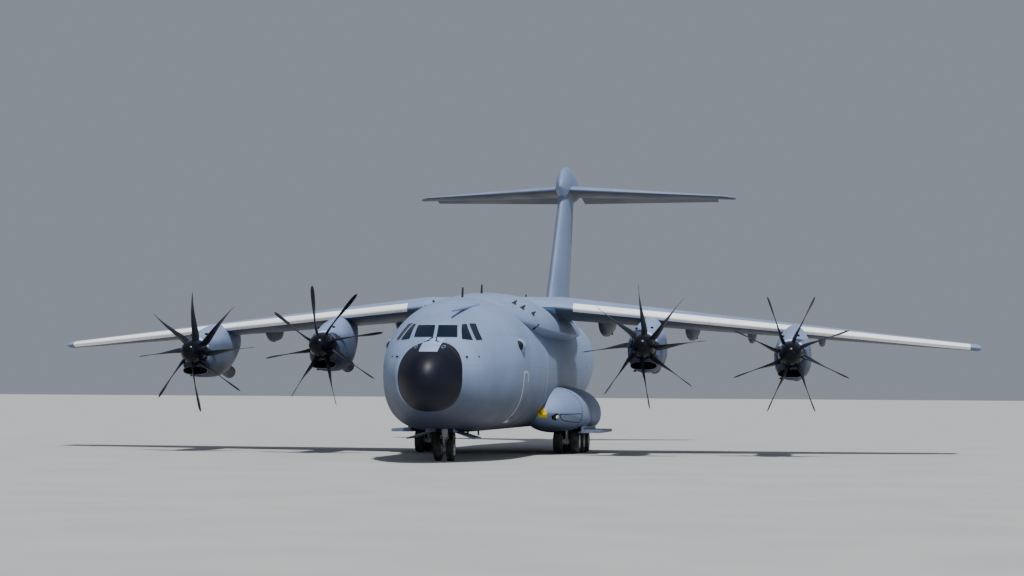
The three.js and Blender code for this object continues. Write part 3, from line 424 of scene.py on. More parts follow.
def turned_about(mesh, start, end, degrees):
    """A mesh turned about the line from one point to another."""
    turn = Matrix.Rotation(math.radians(degrees), 4, end - start)
    return moved(mesh, Matrix.Translation(start) @ turn @ Matrix.Translation(-start))


def biggest(mesh):
    """The largest of a mesh's separate bodies."""
    bm = bmesh.new()
    bm.from_mesh(mesh)
    left, best = set(bm.verts), []
    while left:
        found = [left.pop()]
        for vert in found:
            for edge in vert.link_edges:
                other = edge.other_vert(vert)
                if other in left:
                    left.discard(other)
                    found.append(other)
        if len(found) > len(best):
            best = found
    keep = set(best)
    bmesh.ops.delete(bm, geom=[vert for vert in bm.verts if vert not in keep], context="VERTS")
    return as_mesh(bm)


def piece(name, mesh, *finishes, slot=COMPOSITE, body="airframe", replaces=(), sharp=35):
    """A finished piece: smooth but for its sharp edges, riding on a body."""
    for each in finishes or ("airframe",):
        mesh.materials.append(finish(each))
    mesh.shade_smooth()
    mesh.set_sharp_from_angle(angle=math.radians(sharp))
    made = bpy.data.objects.new(name, mesh)
    bpy.context.scene.collection.objects.link(made)
    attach(made, body)
    if replaces:
        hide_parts(*replaces)
    return made


class Surface:
    """A wing, tailplane or fin, straight between its root and tip sections."""

    lines = Smooth([(math.sqrt(along), up) for along, up in AEROFOIL])

    def __init__(self, ends, camber=0, upright=False):
        self.ends, self.camber, self.upright = ends, camber, upright

    def sizes(self, out):
        root, tip = self.ends
        share = (out - root[0]) / (tip[0] - root[0])
        return [a + (b - a) * share for a, b in zip(root[1:], tip[1:])]

    def middle(self, out, along):
        """The middle of a section's thickness at a share of the chord."""
        nose, height, chord, _, lean = self.sizes(out)
        y = nose + chord * along
        if self.upright:
            return at(0, y, out)
        return at(out, y, height - lean * along + 4 * self.camber * along * (1 - along) * chord)

    def loop(self, out, thin=1, back=0):
        nose, height, chord, thick, _ = self.sizes(out)
        shares = steps(1, 0, 30)
        loop = []
        for t, way in [(t, 1) for t in shares] + [(t, -1) for t in shares[-2::-1]]:
            point = self.middle(out, t * t)
            up = way * float(self.lines(t)[0]) * thick / 2 * thin * SCALE
            if self.upright:
                point.x += up
            else:
                point.z = at(0, 0, height).z + (point.z - at(0, 0, height).z) * thin + up
            front = at(0, nose, 0).y
            point.y = front + back * chord * SCALE + (point.y - front) * (1 - back)
            loop.append(point)
        return loop

    def form(self, start, tip_length=0, thin=1, back=0):
        """The whole surface from one place out to its rounded tip."""
        tip = self.ends[1][0]
        loops = [self.loop(out) for out in steps(start, tip - tip_length, 12)]
        for k in range(1, 7) if tip_length else ():
            angle = k / 6 * math.pi / 2
            out = tip - tip_length * (1 - math.sin(angle))
            loops.append(self.loop(out, 1 - (1 - thin) * (1 - math.cos(angle)), back * k / 6))
        return loft(loops)


wing = Surface(WING, CAMBER)
tailplane = Surface(TAILPLANE)
fin = Surface(FIN, upright=True)


def hinge_point(surface, along, out):
    p = surface.middle(out, along)
    return (p.x / SCALE, p.y / SCALE + HALF_LENGTH, p.z / SCALE)


def flap_hinge(x):
    """A point of the flap's hinge line, in full-size millimetres."""
    (x0, x1), (drop0, drop1) = FLAP["x"], FLAP["drops"]
    _, y, z = hinge_point(wing, FLAP["along"], x)
    return (x, y, z - (drop0 + (drop1 - drop0) * ((x - x0) / (x1 - x0))))


def behind(x, station_at, z=WING_HEIGHTS):
    """Everything behind a line across a surface, between two distances out."""
    x0, x1 = x
    outline = [(x0, station_at(x0)), (x1, station_at(x1)), (x1, FAR_AFT), (x0, FAR_AFT)]
    return prism(outline, "z", z)


def behind_flap_hinge(x, ahead):
    return behind(x, lambda out: flap_hinge(out)[1] - ahead)


def control_surface(surface, form, spec, nose_share, z=WING_HEIGHTS):
    """A hinged surface with its round nose and pins, and the room that it takes."""
    x0, x1 = spec["x"]

    def hinge(out):
        return hinge_point(surface, spec["along"], out)

    def nose(out):
        return nose_share * surface.sizes(out)[3]

    def region(ends, ahead):
        if surface.upright:
            a, b = [(hinge(out)[1] - ahead, out) for out in ends]
            return prism([a, (FAR_AFT, a[1]), (FAR_AFT, b[1]), b], "x", (-600, 600))
        return behind(ends, lambda out: hinge(out)[1] - ahead, z)

    def pin(reach, r):
        return rod(hinge(x0 - reach), hinge(x1 + reach), r, sides=20)

    moving = shaped(form, (KEEP, region((x0, x1), 0)))
    moving = shaped(moving, (JOIN, rod(hinge(x0), hinge(x1), nose(x0), nose(x1), 40)))
    moving = shaped(moving, (JOIN, pin(160, spec["pin"])))
    room = region((x0 - 80, x1 + 80), nose(x0) * 1.12 + RUNNING_GAP)
    return moving, shaped(room, (JOIN, pin(161, spec["pin"] * 1.1 + PIN_GAP)))


def doorway(door, grow):
    """A doorway's outline seen from the side, with round upper corners."""
    (y0, y1), (z0, z1), r = door["y"], door["z"], door["round"] + grow
    return [
        (y0 - grow, z0 - grow), (y1 + grow, z0 - grow), (y1 + grow, z1 + grow, r),
        (y0 - grow, z1 + grow, r),
    ]


def ahead_of_radome_edge(distance):
    (y1, z1), (y0, z0) = RADOME_TOP, RADOME_FOOT
    slope = (y1 - y0) / (z1 - z0)
    low, high = y0 - z0 * slope + distance, y0 + (8000 - z0) * slope + distance
    return prism([(-800, 0), (low, 0), (high, 8000), (-800, 8000)], "x", (-4000, 4000))


def window_prisms(name, grow, rounding=WINDOW_ROUND):
    """A window's outline from ahead on both sides, pushed aft through the skin."""
    corners = WINDOWS[name]
    middle = Vector((sum(c[0] for c in corners) / 4, sum(c[1] for c in corners) / 4))
    outline = []
    for corner in corners:
        away = (Vector(corner) - middle).normalized() * grow * 1.3
        outline.append((corner[0] + away.x, corner[1] + away.y, rounding + grow))
    one = prism(outline, "y", (1900, 5200))
    return [on_side(side, one) for side, _ in SIDES]


# Finishes


def shader_maths(operation, swap=False):
    """A method that adds one Math node, with its values the other way round if asked."""

    def method(self, *others):
        values = [*others, self] if swap else [self, *others]
        return self.finish.node("ShaderNodeMath", {"operation": operation}, values)

    return method


class Value:
    """A shader socket that is added, scaled and compared as a number is."""

    def __init__(self, finish, socket):
        self.finish, self.socket = finish, socket

    __add__ = __radd__ = shader_maths("ADD")
    __sub__ = shader_maths("SUBTRACT")
    __rsub__ = shader_maths("SUBTRACT", swap=True)
    __mul__ = __rmul__ = shader_maths("MULTIPLY")
    __truediv__ = shader_maths("DIVIDE")
    __pow__ = shader_maths("POWER")
    __gt__ = shader_maths("GREATER_THAN")
    __lt__ = shader_maths("LESS_THAN")
    __abs__ = shader_maths("ABSOLUTE")
    larger = shader_maths("MAXIMUM")
    pingpong = shader_maths("PINGPONG")

    def every(self, distance):
        """How far a place is from the nearest of a row of lines."""
        return self.pingpong(distance / 2)


class Finish:
    """A procedural material, built round one shader."""

    def __init__(self, name, colour, roughness, metallic=0.0, **constants):
        self.material = bpy.data.materials.new(name)
        self.material.use_nodes = True
        self.tree = self.material.node_tree
        self.tree.nodes.clear()
        self.shader = self.tree.nodes.new("ShaderNodeBsdfPrincipled")
        output = self.tree.nodes.new("ShaderNodeOutputMaterial")
        self.tree.links.new(self.shader.outputs["BSDF"], output.inputs["Surface"])
        self.set(Base_Color=colour, Roughness=roughness, Metallic=metallic, **constants)
        self.place = self.node("ShaderNodeTexCoord", output="Object")
        parts = self.node("ShaderNodeSeparateXYZ", inputs=[self.place])
        self.x, self.y, self.z = (
            Value(self, parts.socket.node.outputs[axis]) for axis in "XYZ"
        )

    def give(self, socket, value):
        if isinstance(value, Value):
            self.tree.links.new(value.socket, socket)
        elif socket.type == "RGBA" and len(value) == 3:
            socket.default_value = (*value, 1)
        else:
            socket.default_value = value

    def set(self, **inputs):
        for name, value in inputs.items():
            self.give(self.shader.inputs[name.replace("_", " ")], value)

    def node(self, kind, settings=None, inputs=(), output=0):
        """A node with its settings and the values or links of its sockets."""
        made = self.tree.nodes.new(kind)
        for name, value in (settings or {}).items():
            setattr(made, name, value)
        pairs = inputs.items() if isinstance(inputs, dict) else enumerate(inputs)
        for name, value in pairs:
            self.give(made.inputs[name], value)
        return Value(self, made.outputs[output])

    def noise(self, scale, detail=3.0, stretch=(1, 1, 1)):
        """Soft spots of about one metre divided by the scale, from 0 to 1."""
        place = self.node("ShaderNodeMapping", inputs={"Vector": self.place, "Scale": stretch})
        values = {"Vector": place, "Scale": scale, "Detail": detail}
        return self.node("ShaderNodeTexNoise", inputs=values)

    def spots(self, scale, detail=4, low=0.3, high=0.7, **noise):
        """Noise with its middle tones spread over 0 to 1."""
        return self.between(self.noise(scale, detail, **noise), low, high)

    def mix(self, share, first, second):
        """From the first colour at 0 to the second at 1."""
        values = {"Factor": share, 6: first, 7: second}
        return self.node("ShaderNodeMix", {"data_type": "RGBA"}, values, output=2)

    def between(self, value, low, high):
        """A value turned smoothly from 0 at one end to 1 at the other."""
        settings = {"interpolation_type": "SMOOTHSTEP", "clamp": True}
        inputs = {"Value": value, "From Min": low, "From Max": high}
        return self.node("ShaderNodeMapRange", settings, inputs)

    def done(self, height, strength, distance):
        """The material, with a bump as its last touch."""
        values = {"Height": height, "Strength": strength, "Distance": distance}
        self.set(Normal=self.node("ShaderNodeBump", inputs=values))
        return self.material

    def cover(self, share, *colour):
        """Lays a colour over the paint's base."""
        self.base = self.mix(share, self.base, colour[0] if len(colour) == 1 else shade(*colour))


def real(x=0.0, y=None, z=None):
    """A full-size coordinate as the model's number."""
    if y is not None:
        return (y - HALF_LENGTH) * SCALE
    return (x if z is None else z) * SCALE


def paint(name="airframe"):
    return tuple(getattr(bpy.context.scene.plane_paint, name))


def trim_size(name):
    """A size from the panel, in full-size millimetres."""
    return getattr(bpy.context.scene.plane_sizes, name) * 1000


def shade(colour, factor):
    return tuple(min(1, c * factor) for c in colour)


def airframe_base(name, factor=1, lines=True, belly=(4100, 1450)):
    """Matt grey paint with faint blotches, streaks and panel lines, and painted shade that darkens
    it towards the belly.
    """
    colour = shade(paint(), factor)
    f = Finish(name, colour, 0.5, Specular_IOR_Level=0.35)
    blotch = f.spots(0.9)
    streak = f.spots(5, 3, 0.45, 0.75, stretch=(1, 1, 0.08))
    f.base, f.colour = f.mix(blotch, shade(colour, 0.93), shade(colour, 1.05)), colour
    f.cover(streak * 0.25, colour, 0.8)
    # Painted shade: between the two heights in belly the paint darkens to about a fifth, for the
    # shade under the body.
    up = f.z + (f.noise(1.4, 4) - 0.5) * 0.3
    painted_belly_shade = f.between(up, real(z=belly[0]), real(z=belly[1])) * 0.92
    f.cover(painted_belly_shade, colour, 0.12)
    f.height = f.noise(60, 2) * 0.15
    if lines:
        seam = (f.y.every(0.9) < 0.003).larger(f.z.every(0.62) < 0.0022)
        f.cover(seam * 0.6, colour, 0.5)
        f.height = f.height - seam
    f.set(Roughness=0.46 + blotch * 0.14)
    return f


def close(f):
    f.set(Base_Color=f.base)
    return f.done(f.height, 0.35, 0.004)


def tail_paint():
    """The tailplane's grey, a little darker than the airframe's overall and much darker on its
    lower side: painted shade.
    """
    f = airframe_base("tail_paint", 0.88)
    # Painted shade: behind the tailplane's front and below about the middle of its thickness the
    # grey darkens to about a fifth.
    under = f.between(f.z, real(z=13420), real(z=13330)) * (f.y > real(y=38500))
    f.cover(under * 0.95, f.colour, 0.14)
    return close(f)


def notch_below_windscreen(f):
    """The pale patch that cuts into the radome's top."""
    return (abs(f.x - real(45)) < real(350) + (f.z - real(z=4200)) * 0.04) * (f.z > real(z=4215))


def ear_fitting(f):
    """A round fitting in each dark corner above the radome."""
    out, up = abs(f.x) - real(530), f.z - real(z=4410)
    distance = out * out + up * up
    return (distance < 0.034**2) * (distance > 0.02**2) * (f.y < real(y=2100))


def coated(f):
    """The rounded patch of the nose that carries the radome's black coating."""
    up = abs(f.z - real(z=3280)) / real(z=1330)
    out = abs(f.x - real(80)) / real(1215)
    inside = out**2.4 + up**2.4 < 1
    return inside * (f.y < real(y=2150)) * (1 - notch_below_windscreen(f))


def nose_paint():
    """The nose's grey, with the coating's edge and the pale patch below the windscreen."""
    f = airframe_base("nose_paint")
    f.cover(coated(f), paint("radome"))
    f.cover(ear_fitting(f), paint(), 0.5)
    patch = notch_below_windscreen(f) * (f.y < real(y=2500)) * (f.z < real(z=4760))
    f.cover(patch * 0.5, paint(), 1.8)
    return close(f)


def centre_paint():
    """The middle fuselage's grey, with one pale ring ahead of the wing on the left side."""
    f = airframe_base("centre_paint")
    ring = (abs(f.y - real(y=13500)) < 0.03) * (f.z > real(z=2470)) * (f.z < real(z=5050))
    f.cover(ring * (f.x > 0) * 0.75, paint("rim"))
    return close(f)


def wing_paint():
    """The wing's grey with painted shade below, and pale leading edges from root to tip."""
    f = airframe_base("wing_paint")
    out = abs(f.x)
    (x0, y0, z0, chord0, _, lean0), (x1, y1, z1, chord1, _, lean1) = WING
    share = (out - real(x0)) / real(x1 - x0)
    rise = f.z - (share * real(z1 - z0) + real(z=z0))
    run = f.y - (share * real(y1 - y0) + real(y=y0))
    strip = (rise < real(240)) * (rise > real(-130)) * (run < real(330))
    strip = strip * (out > real(3650)) * (out < real(20700))
    lean = share * real(lean1 - lean0) + real(lean0)
    chord = share * real(chord1 - chord0) + real(chord0)
    middle = rise + run / chord * lean
    # Painted shade: below the middle of the wing's thickness, off the pale strip, the grey darkens
    # to about a quarter.
    f.cover(f.between(middle, real(30), real(-110)) * (1 - strip) * 0.9, f.colour, 0.16)
    ends = (abs(out - real(9400)) < 0.004).larger(abs(out - real(12000)) < 0.004)
    edge = paint("leading_edge")
    f.cover(strip, f.mix(f.noise(2, 2) * 0.5, edge, shade(edge, 0.9)))
    f.cover(strip * ends * 0.6, paint(), 0.6)
    return close(f)


def nacelle_paint():
    """The nacelle's grey with painted shade on its lower part, and a painted highlight along the
    top of its front lip.
    """
    f = airframe_base("nacelle_paint", lines=False)
    seam = (f.y.every(0.62) < 0.002).larger(f.z.every(0.5) < 0.0016)
    f.cover(seam * 0.6, f.colour, 0.4)
    inner = abs(f.x) < real(10000)
    axis = inner * real(280) + real(4380)
    disc = inner * -real(1500) + real(y=14600)
    up = f.z - axis + f.noise(1.6, 4) * real(260)
    # Painted shade: below the upper cowl the grey darkens to under half, and under the axis
    # further, to about a seventh.
    f.cover(f.between(up, real(820), real(380)) * 0.66, f.colour, 0.16)
    f.cover(f.between(up, real(-150), real(-650)) * 0.75, f.colour, 0.08)
    # Painted highlight: a band 0.3 m deep at the front, above the axis only, lightened to more
    # than twice the grey.
    f.cover((f.y - disc < real(300)) * (f.z > axis + real(250)), f.colour, 2.2)
    f.height = f.height - seam
    return close(f)


def radome_finish():
    """Satin black with a pale patch under the windscreen, between two dark corners."""
    colour = paint("radome")
    f = Finish("radome_finish", colour, 0.42, Specular_IOR_Level=0.2)
    notch = 1 - coated(f)
    blotch = f.spots(2.2)
    f.base = f.mix(blotch, shade(colour, 0.85), shade(colour, 1.25))
    f.cover(ear_fitting(f), paint(), 0.5)
    f.cover(notch, f.mix(blotch, shade(paint(), 1.1), shade(paint(), 1.35)))
    f.set(Base_Color=f.base, Roughness=blotch * 0.06 + 0.39 + notch * 0.1)
    return f.done(f.noise(70, 2), 0.12, 0.002)


def blade_finish():
    """Near-black composite, its outer part rubbed paler."""
    colour = paint("blade")
    f = Finish("blade_finish", colour, 0.4, Specular_IOR_Level=0.15)
    worn = f.spots(14, 5, 0.5, 0.8)
    f.set(Base_Color=f.mix(worn * 0.5, colour, shade(colour, 2)), Roughness=worn * 0.2 + 0.4)
    return f.done(f.noise(120, 2), 0.1, 0.001)


def glass_finish():
    f = Finish("glass_finish", paint("glass"), 0.06, Transmission_Weight=0.6, IOR=1.45)
    f.set(Specular_IOR_Level=0.3, Roughness=f.noise(3, 2) * 0.06 + 0.03)
    return f.material


def tyre_finish():
    """Dark rubber with dust and a fine grain."""
    colour = paint("tyre")
    f = Finish("tyre_finish", colour, 0.85)
    dust = f.spots(9, 4, 0.4, 0.8)
    f.set(Base_Color=f.mix(dust * 0.6, colour, (0.12, 0.115, 0.105)))
    f.set(Roughness=dust * 0.1 + 0.78)
    return f.done(f.noise(150, 3), 0.3, 0.002)


def seat_finish():
    """A woven cover whose threads cross every two millimetres."""
    colour = (0.05, 0.065, 0.05)
    f = Finish("seat_finish", colour, 0.9)
    weave = (f.x.every(0.004) + f.z.every(0.004) + f.y.every(0.004)) * 250
    worn = f.spots(6, 3, 0.35, 0.7)
    f.set(Base_Color=f.mix(worn, shade(colour, 0.8), shade(colour, 1.15)))
    f.set(Roughness=0.8 + worn * 0.15)
    return f.done(weave, 0.4, 0.001)


def plain(name, colour, roughness, metallic=0.0, spots=(8, 0.15), bump=(80, 0.1), **constants):
    """A plain finish whose colour and roughness vary a little."""
    f = Finish(name, colour, roughness, metallic, **constants)
    scale, amount = spots
    blotch = f.spots(scale)
    f.set(Base_Color=f.mix(blotch, shade(colour, 1 - amount), shade(colour, 1 + amount)))
    f.set(Roughness=blotch * 0.12 + (roughness - 0.06))
    grain, strength = bump
    return f.done(f.noise(grain, 3), strength, 0.002)


MAKERS = {
    "airframe": lambda: close(airframe_base("airframe_paint")),
    # Painted shade: the fin and rudder take the airframe paint darkened to 0.84, for upright sides
    # that the high light only grazes.
    "fin": lambda: close(airframe_base("fin_paint", 0.84)),
    # Painted shade: the gear housings darken towards their own lower part.
    "sponson": lambda: close(airframe_base("sponson_paint", belly=(1650, 900))),
    "nose": nose_paint,
    "centre": centre_paint,
    "tail": tail_paint,
    "wing": wing_paint,
    "nacelle": nacelle_paint,
    "radome": radome_finish,
    "blade": blade_finish,
    "glass": glass_finish,
    "tyre": tyre_finish,
    "seat": seat_finish,
}
FINISHES = {}


def finish(name):
    """A finish by name, made once."""
    if name not in FINISHES:
        # What plain() takes: colour, roughness, then metallic and the rest where they matter
        plain_ones = {
            "spinner": (paint("spinner"), 0.24, {"bump": (60, 0.04), "Specular_IOR_Level": 0.14}),
            # Painted shade: the gear doors take the airframe paint darkened to 0.6, for the shadow
            # they hang in under the body.
            "gear_door": (shade(paint(), 0.6), 0.5),
            # The rim finish is a painted highlight along the crew door's gap.
            "rim": (paint("rim"), 0.5),
            "seal": (shade(paint(), 0.8), 0.6),
            "dark": ((0.012, 0.014, 0.018), 0.6, {"Specular_IOR_Level": 0.12}),
            "gear": (paint("gear"), 0.4, {"spots": (10, 0.12)}),
            "steel": ((0.55, 0.56, 0.58), 0.28, {"metallic": 0.9}),
            "lining": ((0.16, 0.18, 0.18), 0.7),
            "engine": ((0.3, 0.28, 0.26), 0.45, {"metallic": 0.7}),
            "cap": (paint("cap"), 0.5),
            "lamp": ((0.75, 0.78, 0.8), 0.12, {"metallic": 0.3}),
        }
        if name in MAKERS:
            FINISHES[name] = MAKERS[name]()
        else:
            colour, roughness, *more = plain_ones[name]
            settings = more[0] if more else {}
            FINISHES[name] = plain(f"{name}_finish", colour, roughness, **settings)
    return FINISHES[name]


# Settings


def colour_setting(name, text, rgb):
    return FloatVectorProperty(
        name=name, description=text, subtype="COLOR", size=3, min=0, max=1, default=rgb
    )


def size_setting(name, text, size, high):
    return FloatProperty(
        name=name, description=text, unit="LENGTH", default=size, min=0.005, max=high
    )


def light_setting(name, text, strength, high):
    return FloatProperty(name=name, description=text, default=strength, min=0, max=high)


class PlaneSizes(PropertyGroup):
    """Sizes of the trim, as on the full-size aeroplane."""

    # The door rim is a painted highlight: the glint along the crew door's gap.
    rim: size_setting("Door rim", "Width of the pale rim round the crew door", 0.095, 0.2)
    seal: size_setting("Window seal", "How far a seal reaches past its pane", 0.016, 0.04)
    antenna: size_setting("Antenna", "Height of the blade antennas on the roof", 0.42, 0.8)
    dome: size_setting("Sensor dome", "Radius of the sensor domes on the cheeks", 0.31, 0.4)
    lamp: size_setting("Landing lamp", "Radius of the lamps' glass", 0.084, 0.12)


class PlanePaint(PropertyGroup):
    """The colours of the paints and coatings."""

    airframe: colour_setting("Airframe", "Grey paint of the whole airframe", (0.198, 0.264, 0.42))
    leading_edge: colour_setting("Leading edge", "Bare leading edges", (0.92, 0.93, 0.94))
    radome: colour_setting("Radome", "Coating of the radome", (0.005, 0.0065, 0.015))
    spinner: colour_setting("Spinner", "Coating of the spinners", (0.003, 0.0038, 0.008))
    blade: colour_setting("Blade", "Coating of the blades", (0.007, 0.0085, 0.014))
    glass: colour_setting("Glass", "Tint of the cockpit glass", (0.012, 0.026, 0.06))
    # Rim colours the pale rim round the crew door, a painted highlight, and the pale ring ahead of
    # the wing.
    rim: colour_setting("Rim", "Pale rims and rings", (0.42, 0.47, 0.54))
    gear: colour_setting("Gear", "Paint of the landing gear", (0.5, 0.52, 0.54))
    tyre: colour_setting("Tyre", "Rubber of the tyres", (0.016, 0.016, 0.017))
    cap: colour_setting("Cap", "Cap at the front of the left gear housing", (0.85, 0.62, 0.02))


class PlaneStage(PropertyGroup):
    """The floor and the lights."""

    floor: colour_setting("Floor", "Colour of the floor", (0.4, 0.4, 0.395))
    key: light_setting("Key light", "Strength of the main light", 4.6, 20)
    sky: light_setting("Sky", "Strength of the even light all round", 0.32, 5)


# Pieces


class PLANE_OT_fuselage(Operator):
    """Adds the radome and the nose, centre and tail skins"""

    bl_idname = "plane.fuselage"
    bl_label = "Fuselage"

    def execute(self, context):
        radome = shaped(fuselage(0, (0, 2300)), (KEEP, ahead_of_radome_edge(-3)))
        piece("radome_skin", radome, "radome", slot="radome_black", replaces=["radome"], sharp=50)
        half, (front, rear), roof = (NOSE_BAY[key] for key in ("half", "y", "roof"))
        bay_room = box((-half, half), (front, rear), (0, roof))
        nose = shaped(
            fuselage(0, (500, NOSE_END)),
            (CUT, fuselage(-WALL, (0, NOSE_END + 300)), ahead_of_radome_edge(3)),
            (CUT, prism(doorway(CREW_DOOR, 0), "x", (1500, 3500))),
            (CUT, bay_room.copy()),
            (CUT, *[hole for name in WINDOWS for hole in window_prisms(name, 0)]),
        )
        piece("nose_skin", nose, "nose", slot=METAL, replaces=["nose_shell"])
        bay_walls = shaped(
            box((-half - 60, half + 60), (front - 60, rear + 60), (1120, roof + 60)),
            (KEEP, fuselage(-70, (3000, 7000))),
            (CUT, bay_room),
        )
        piece("nose_bay_walls", bay_walls, "gear", slot=METAL)
        y, z = RAMP["y"], RAMP["z"]
        lug_room = prism(
            [(y - 80, z - 400), (y - 80, z + 64), (y + 200, z + 64), (y + 200, z - 400)],
            "x", (-514, 514),
        )
        centre = shaped(skin_layer(0, -WALL, (NOSE_END + 6, CENTRE_END - 3)), (CUT, lug_room))
        piece("centre_skin", centre, "centre", slot=METAL, replaces=["centre_shell"])
        para = prism(doorway(PARA_DOOR, 8), "x", (1900, 3500))
        tail = shaped(
            skin_layer(0, -WALL, (CENTRE_END + 3, TAIL_END)),
            (CUT, box((-1814, 1814), (CENTRE_END - 10, RAMP["tip"] + 10), (0, 4200))),
            (CUT, door_plan(0, DOOR["tip"]), door_pin(1520, 46, 32)),
            (CUT, *[on_side(side, para) for side, _ in SIDES]),
        )
        piece("tail_skin", tail, slot=METAL, replaces=["tail_shell"])
        return {"FINISHED"}


def door_plan(grow, end):
    """The upper cargo door's outline from above, pushed up through the tail's floor."""
    front, rear = DOOR["front_half"] + grow, DOOR["rear_half"] + grow
    outline = [(-front, 30000), (front, 30000), (rear, end), (-rear, end)]
    return prism(outline, "z", (0, 5000))


def door_pin(reach, r, sides):
    """A bar along the upper cargo door's hinge."""
    return rod((-reach, DOOR["y"], DOOR["z"]), (reach, DOOR["y"], DOOR["z"]), r, sides=sides)


def ramp_sweep(extra):
    """Everything inside the arc that the ramp's tip draws about its hinge."""
    y, z = RAMP["y"], RAMP["z"]
    radius = math.hypot(RAMP["tip"] - y, RAMP_TIP_KEEL - z) + extra
    return rod((-4000, y, z), (4000, y, z), radius, sides=360)


class PLANE_OT_doors(Operator):
    """Adds the crew door, the paratroop doors, the ramp and the upper cargo door"""

    bl_idname = "plane.doors"
    bl_label = "Doors and ramp"

    def execute(self, context):
        x, z, r = CREW_HINGE["x"], CREW_HINGE["z"], CREW_HINGE["r"]
        crew = shaped(
            skin_layer(0, -WALL + 14, (6600, 8600)),
            (KEEP, prism(doorway(CREW_DOOR, -RUNNING_GAP), "x", (1500, 3500))),
        )
        crew = shaped(crew, (JOIN, rod((x, 7080, z), (x, 8050, z), r, sides=24)))
        piece(
            "crew_door_skin", crew, "nose", slot=METAL, body="crew_door", replaces=["crew_door"]
        )
        # Painted highlight: a thin pale strip round the crew door's top and front edge and a short
        # way down its rear edge, for the glint along the door's gap.
        outline = {**CREW_DOOR, "z": (1560, CREW_DOOR["z"][1])}
        rim = shaped(
            skin_layer(5, -20, (6700, 8500)),
            (KEEP, prism(doorway(outline, trim_size("rim")), "x", (1200, 3500))),
            (CUT, prism(doorway(outline, 0), "x", (1000, 3600))),
            (CUT, box((0, 4000), (7980, 8500), (0, 3100))),
        )
        piece("crew_door_rim", rim, "rim", slot=METAL)
        layer = skin_layer(0, -WALL, (26000, 27600))
        para = shaped(layer, (KEEP, prism(doorway(PARA_DOOR, -4), "x", (1900, 3500))))
        for side, name in SIDES:
            piece(
                f"paratroop_door_skin_{name}", on_side(side, para), slot=METAL,
                replaces=[f"paratroop_door_{name}"],
            )
        y, z = RAMP["y"], RAMP["z"]
        ramp_side = [
            (RAMP["front"], 0), (RAMP["tip"] + 400, 0), (RAMP["tip"] + 400, RAMP["top"]),
            (RAMP["tip"], RAMP["top"]), (RAMP["front"], FLOOR),
        ]
        ramp = shaped(
            fuselage(0, (25000, 32000)),
            (KEEP, prism(ramp_side, "x", (-RAMP["half"], RAMP["half"])), ramp_sweep(0)),
            (JOIN, box((-500, 500), (y, y + 120), (z - 50, z + 50))),
            (JOIN, rod((-500, y, z), (500, y, z), 60)),
        )
        piece("cargo_ramp_skin", ramp, slot=METAL, body="cargo_ramp", replaces=["cargo_ramp"])
        door = shaped(
            skin_layer(0, -WALL, (29500, 36000)),
            (KEEP, door_plan(-RUNNING_GAP, DOOR["y"] + 10)),
            (CUT, ramp_sweep(28)),
            (KEEP, box((-2000, 2000), (29000, 36000), (1500, 4400))),
        )
        door = biggest(shaped(door, (JOIN, door_pin(1470, 40, 24))))
        piece("cargo_door_skin", door, slot=METAL, body="cargo_door", replaces=["cargo_door"])
        return {"FINISHED"}


class PLANE_OT_glazing(Operator):
    """Adds the cockpit's panes and the pale seals round them"""

    bl_idname = "plane.glazing"
    bl_label = "Cockpit glass"

    def execute(self, context):
        glass = skin_layer(-12, -42, (1900, 5300))
        seal = skin_layer(4, -18, (1900, 5300))
        for name in WINDOWS:
            panes = window_prisms(name, -3, 42)
            outer, inner = window_prisms(name, trim_size("seal")), window_prisms(name, -14)
            for k, (_, label) in enumerate(SIDES):
                pane = shaped(glass.copy(), (KEEP, panes[k]))
                piece(f"pane_{name}_{label}", pane, "glass", slot="glazing")
                ring = shaped(seal.copy(), (KEEP, outer[k]), (CUT, inner[k]))
                piece(f"seal_{name}_{label}", ring, "seal", slot="glazing")
        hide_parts("windscreen")
        for _, label in SIDES:
            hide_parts(f"side_windows_{label}")
        return {"FINISHED"}


